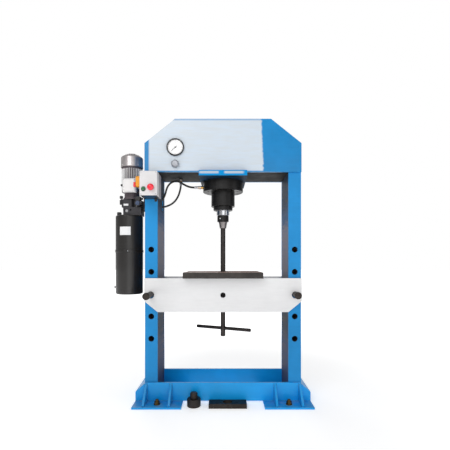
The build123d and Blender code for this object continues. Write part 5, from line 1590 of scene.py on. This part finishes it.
class PRESS_OT_motor(bpy.types.Operator):
    """Builds the finned motor, its bell, fan cover and terminal box"""

    bl_idname = "press.motor"
    bl_label = "Motor"

    def execute(self, context):
        cover_low, cover_high = corners("fan_cover")
        radius = (cover_high.x - cover_low.x) / 2
        straight = cover_high.z - DOME_HEIGHT
        sheet = evaluated(fan_dome(cover_low, cover_high, radius, straight),
                          ("SOLIDIFY", {"thickness": 0.0014, "offset": -1.0}))
        settle("fan_hood", sheet, "brushed cover", "frame", "fan_cover_silver", "fan_cover")
        body_low, body_high = corners("motor_body")
        bell, top = BELL_TOP - body_low.z, body_high.z - body_low.z
        shell = [(0.0, 0.0), (0.056, 0.0), (0.056, 0.010), (0.050, 0.014), (0.050, bell - 0.016),
                 (0.067, bell - 0.010), (0.067, bell + 0.004), (CORE_RADIUS, bell + 0.006),
                 (CORE_RADIUS, top - 0.012), (0.068, top - 0.010), (0.068, top - 0.0015), (0.0, top - 0.0015)]
        casing = turned(shell, (MOTOR_X, 0, body_low.z), (0, 0, 1), 1.0 * MM, 96)
        fin_low, fin_high = BELL_TOP + 0.008, body_high.z - 0.013
        count = context.scene.press_sizes.fin_count
        fins = PatternTree.grow(fins_tree(), "motor grey paint", None, Count=count,
                                Ring_radius=CORE_RADIUS + 2.8 * MM, Depth=6.8 * MM, Width=2.1 * MM,
                                Length=fin_high - fin_low)
        fins.transform(Matrix.Translation((MOTOR_X, 0.0, (fin_low + fin_high) / 2)))
        settle("motor_casing", joined(painted_mesh(casing, "motor grey paint"), fins), None, "frame", "motor_grey",
               "motor_body")
        keep_node("motor_rotor", "machined steel")
        bolts = [(MOTOR_X + BELL_SCREW_RADIUS * cos(a), BELL_SCREW_RADIUS * sin(a), body_low.z + 10 * MM)
                 for a in around(4, pi / 4)]
        settle("bell_screws", heads_at(bolts, (0, 0, 1), 3.6 * MM, 4 * MM, "dark steel", sides=14), None, "frame",
               "dark_steel")
        side_screws = []
        reach = radius + 0.2 * MM
        for a in around(4, pi / 4):
            place = (MOTOR_X + reach * cos(a), reach * sin(a), cover_low.z + 12 * MM)
            side_screws.append(heads_at([place], (cos(a), sin(a), 0), 2.6 * MM, 1.4 * MM, "machined steel", sides=12))
        settle("hood_screws", joined(*side_screws), None, "frame", "plug_steel")
        terminal_box()
        return {"FINISHED"}


def terminal_box():
    """Terminal box with its lid screws and a lead gland."""
    low, high = corners("terminal_box")
    rounded_node("terminal_box", "terminal box paint", "frame", "terminal_white", 2.0 * MM, steps=3)
    inset = 9 * MM
    places = [(x, low.y + 0.4 * MM, z) for x in (low.x + inset, high.x - inset)
              for z in (low.z + 30 * MM, high.z - inset)]
    settle("lid_screws", heads_at(places, (0, -1, 0), 2.8 * MM, 1.5 * MM, "machined steel", sides=14), None, "frame",
           "plug_steel")
    y, z = (low.y + high.y) / 2 - 0.004, low.z + 0.045
    nut = hexagon(9.5 * MM, 0.0, 6 * MM, (low.x, y, z), (-1, 0, 0))
    dome = turned([(0.0, 0.0), (0.0075, 0.0), (0.0075, 0.005), (0.0055, 0.0075), (0.0, 0.0075)],
                  (low.x - 6 * MM, y, z), (-1, 0, 0), 0.6 * MM, 28)
    settle("terminal_gland", joined(nut, dome), "black plastic", "frame", "gauge_black")


# ------------------------------------------------------------------ loose tools
class PRESS_OT_loose_tools(bpy.types.Operator):
    """Finishes the punch and the die plate that stand on the floor"""

    bl_idname = "press.loose_tools"
    bl_label = "Loose tools"

    def execute(self, context):
        edge = context.scene.press_sizes.plate_edge
        rounded_node("press_punch", "dark steel", "punch", "dark_steel", edge, steps=3)
        rounded_node("die_plate", "dark steel", "die", "dark_steel", edge, steps=3)
        return {"FINISHED"}


class PRESS_OT_materials(bpy.types.Operator):
    """Builds the materials from the chosen colours"""

    bl_idname = "press.materials"
    bl_label = "Materials"

    def execute(self, context):
        make_materials(context.scene.press_colours)
        return {"FINISHED"}


# ------------------------------------------------------------------ panel and registration
STEPS = (
    PRESS_OT_materials, PRESS_OT_stage, PRESS_OT_hoses, PRESS_OT_crown, PRESS_OT_uprights, PRESS_OT_base,
    PRESS_OT_welds, PRESS_OT_cylinder, PRESS_OT_ram, PRESS_OT_lifting_rod, PRESS_OT_bed, PRESS_OT_gauge,
    PRESS_OT_control_box, PRESS_OT_tank, PRESS_OT_valves, PRESS_OT_motor, PRESS_OT_loose_tools,
)


class PRESS_PT_panel(bpy.types.Panel):
    """Lists the steps that finish the press"""

    bl_idname = "PRESS_PT_panel"
    bl_label = "Press"
    bl_space_type = "VIEW_3D"
    bl_region_type = "UI"
    bl_category = "Press"

    def draw(self, context):
        for step in STEPS:
            self.layout.operator(step.bl_idname)


CLASSES = (PressSizes, PressColours, *STEPS, PRESS_PT_panel)


def register():
    """Registers the classes and the scene's settings."""
    for cls in CLASSES:
        bpy.utils.register_class(cls)
    bpy.types.Scene.press_sizes = PointerProperty(type=PressSizes)
    bpy.types.Scene.press_colours = PointerProperty(type=PressColours)


def unregister():
    """Removes what register added."""
    del bpy.types.Scene.press_colours
    del bpy.types.Scene.press_sizes
    for cls in reversed(CLASSES):
        bpy.utils.unregister_class(cls)


def main():
    """Finishes the press."""
    register()
    for step in STEPS:
        group, name = step.bl_idname.split(".")
        getattr(getattr(bpy.ops, group), name)()


if __name__ == "__main__":
    main()
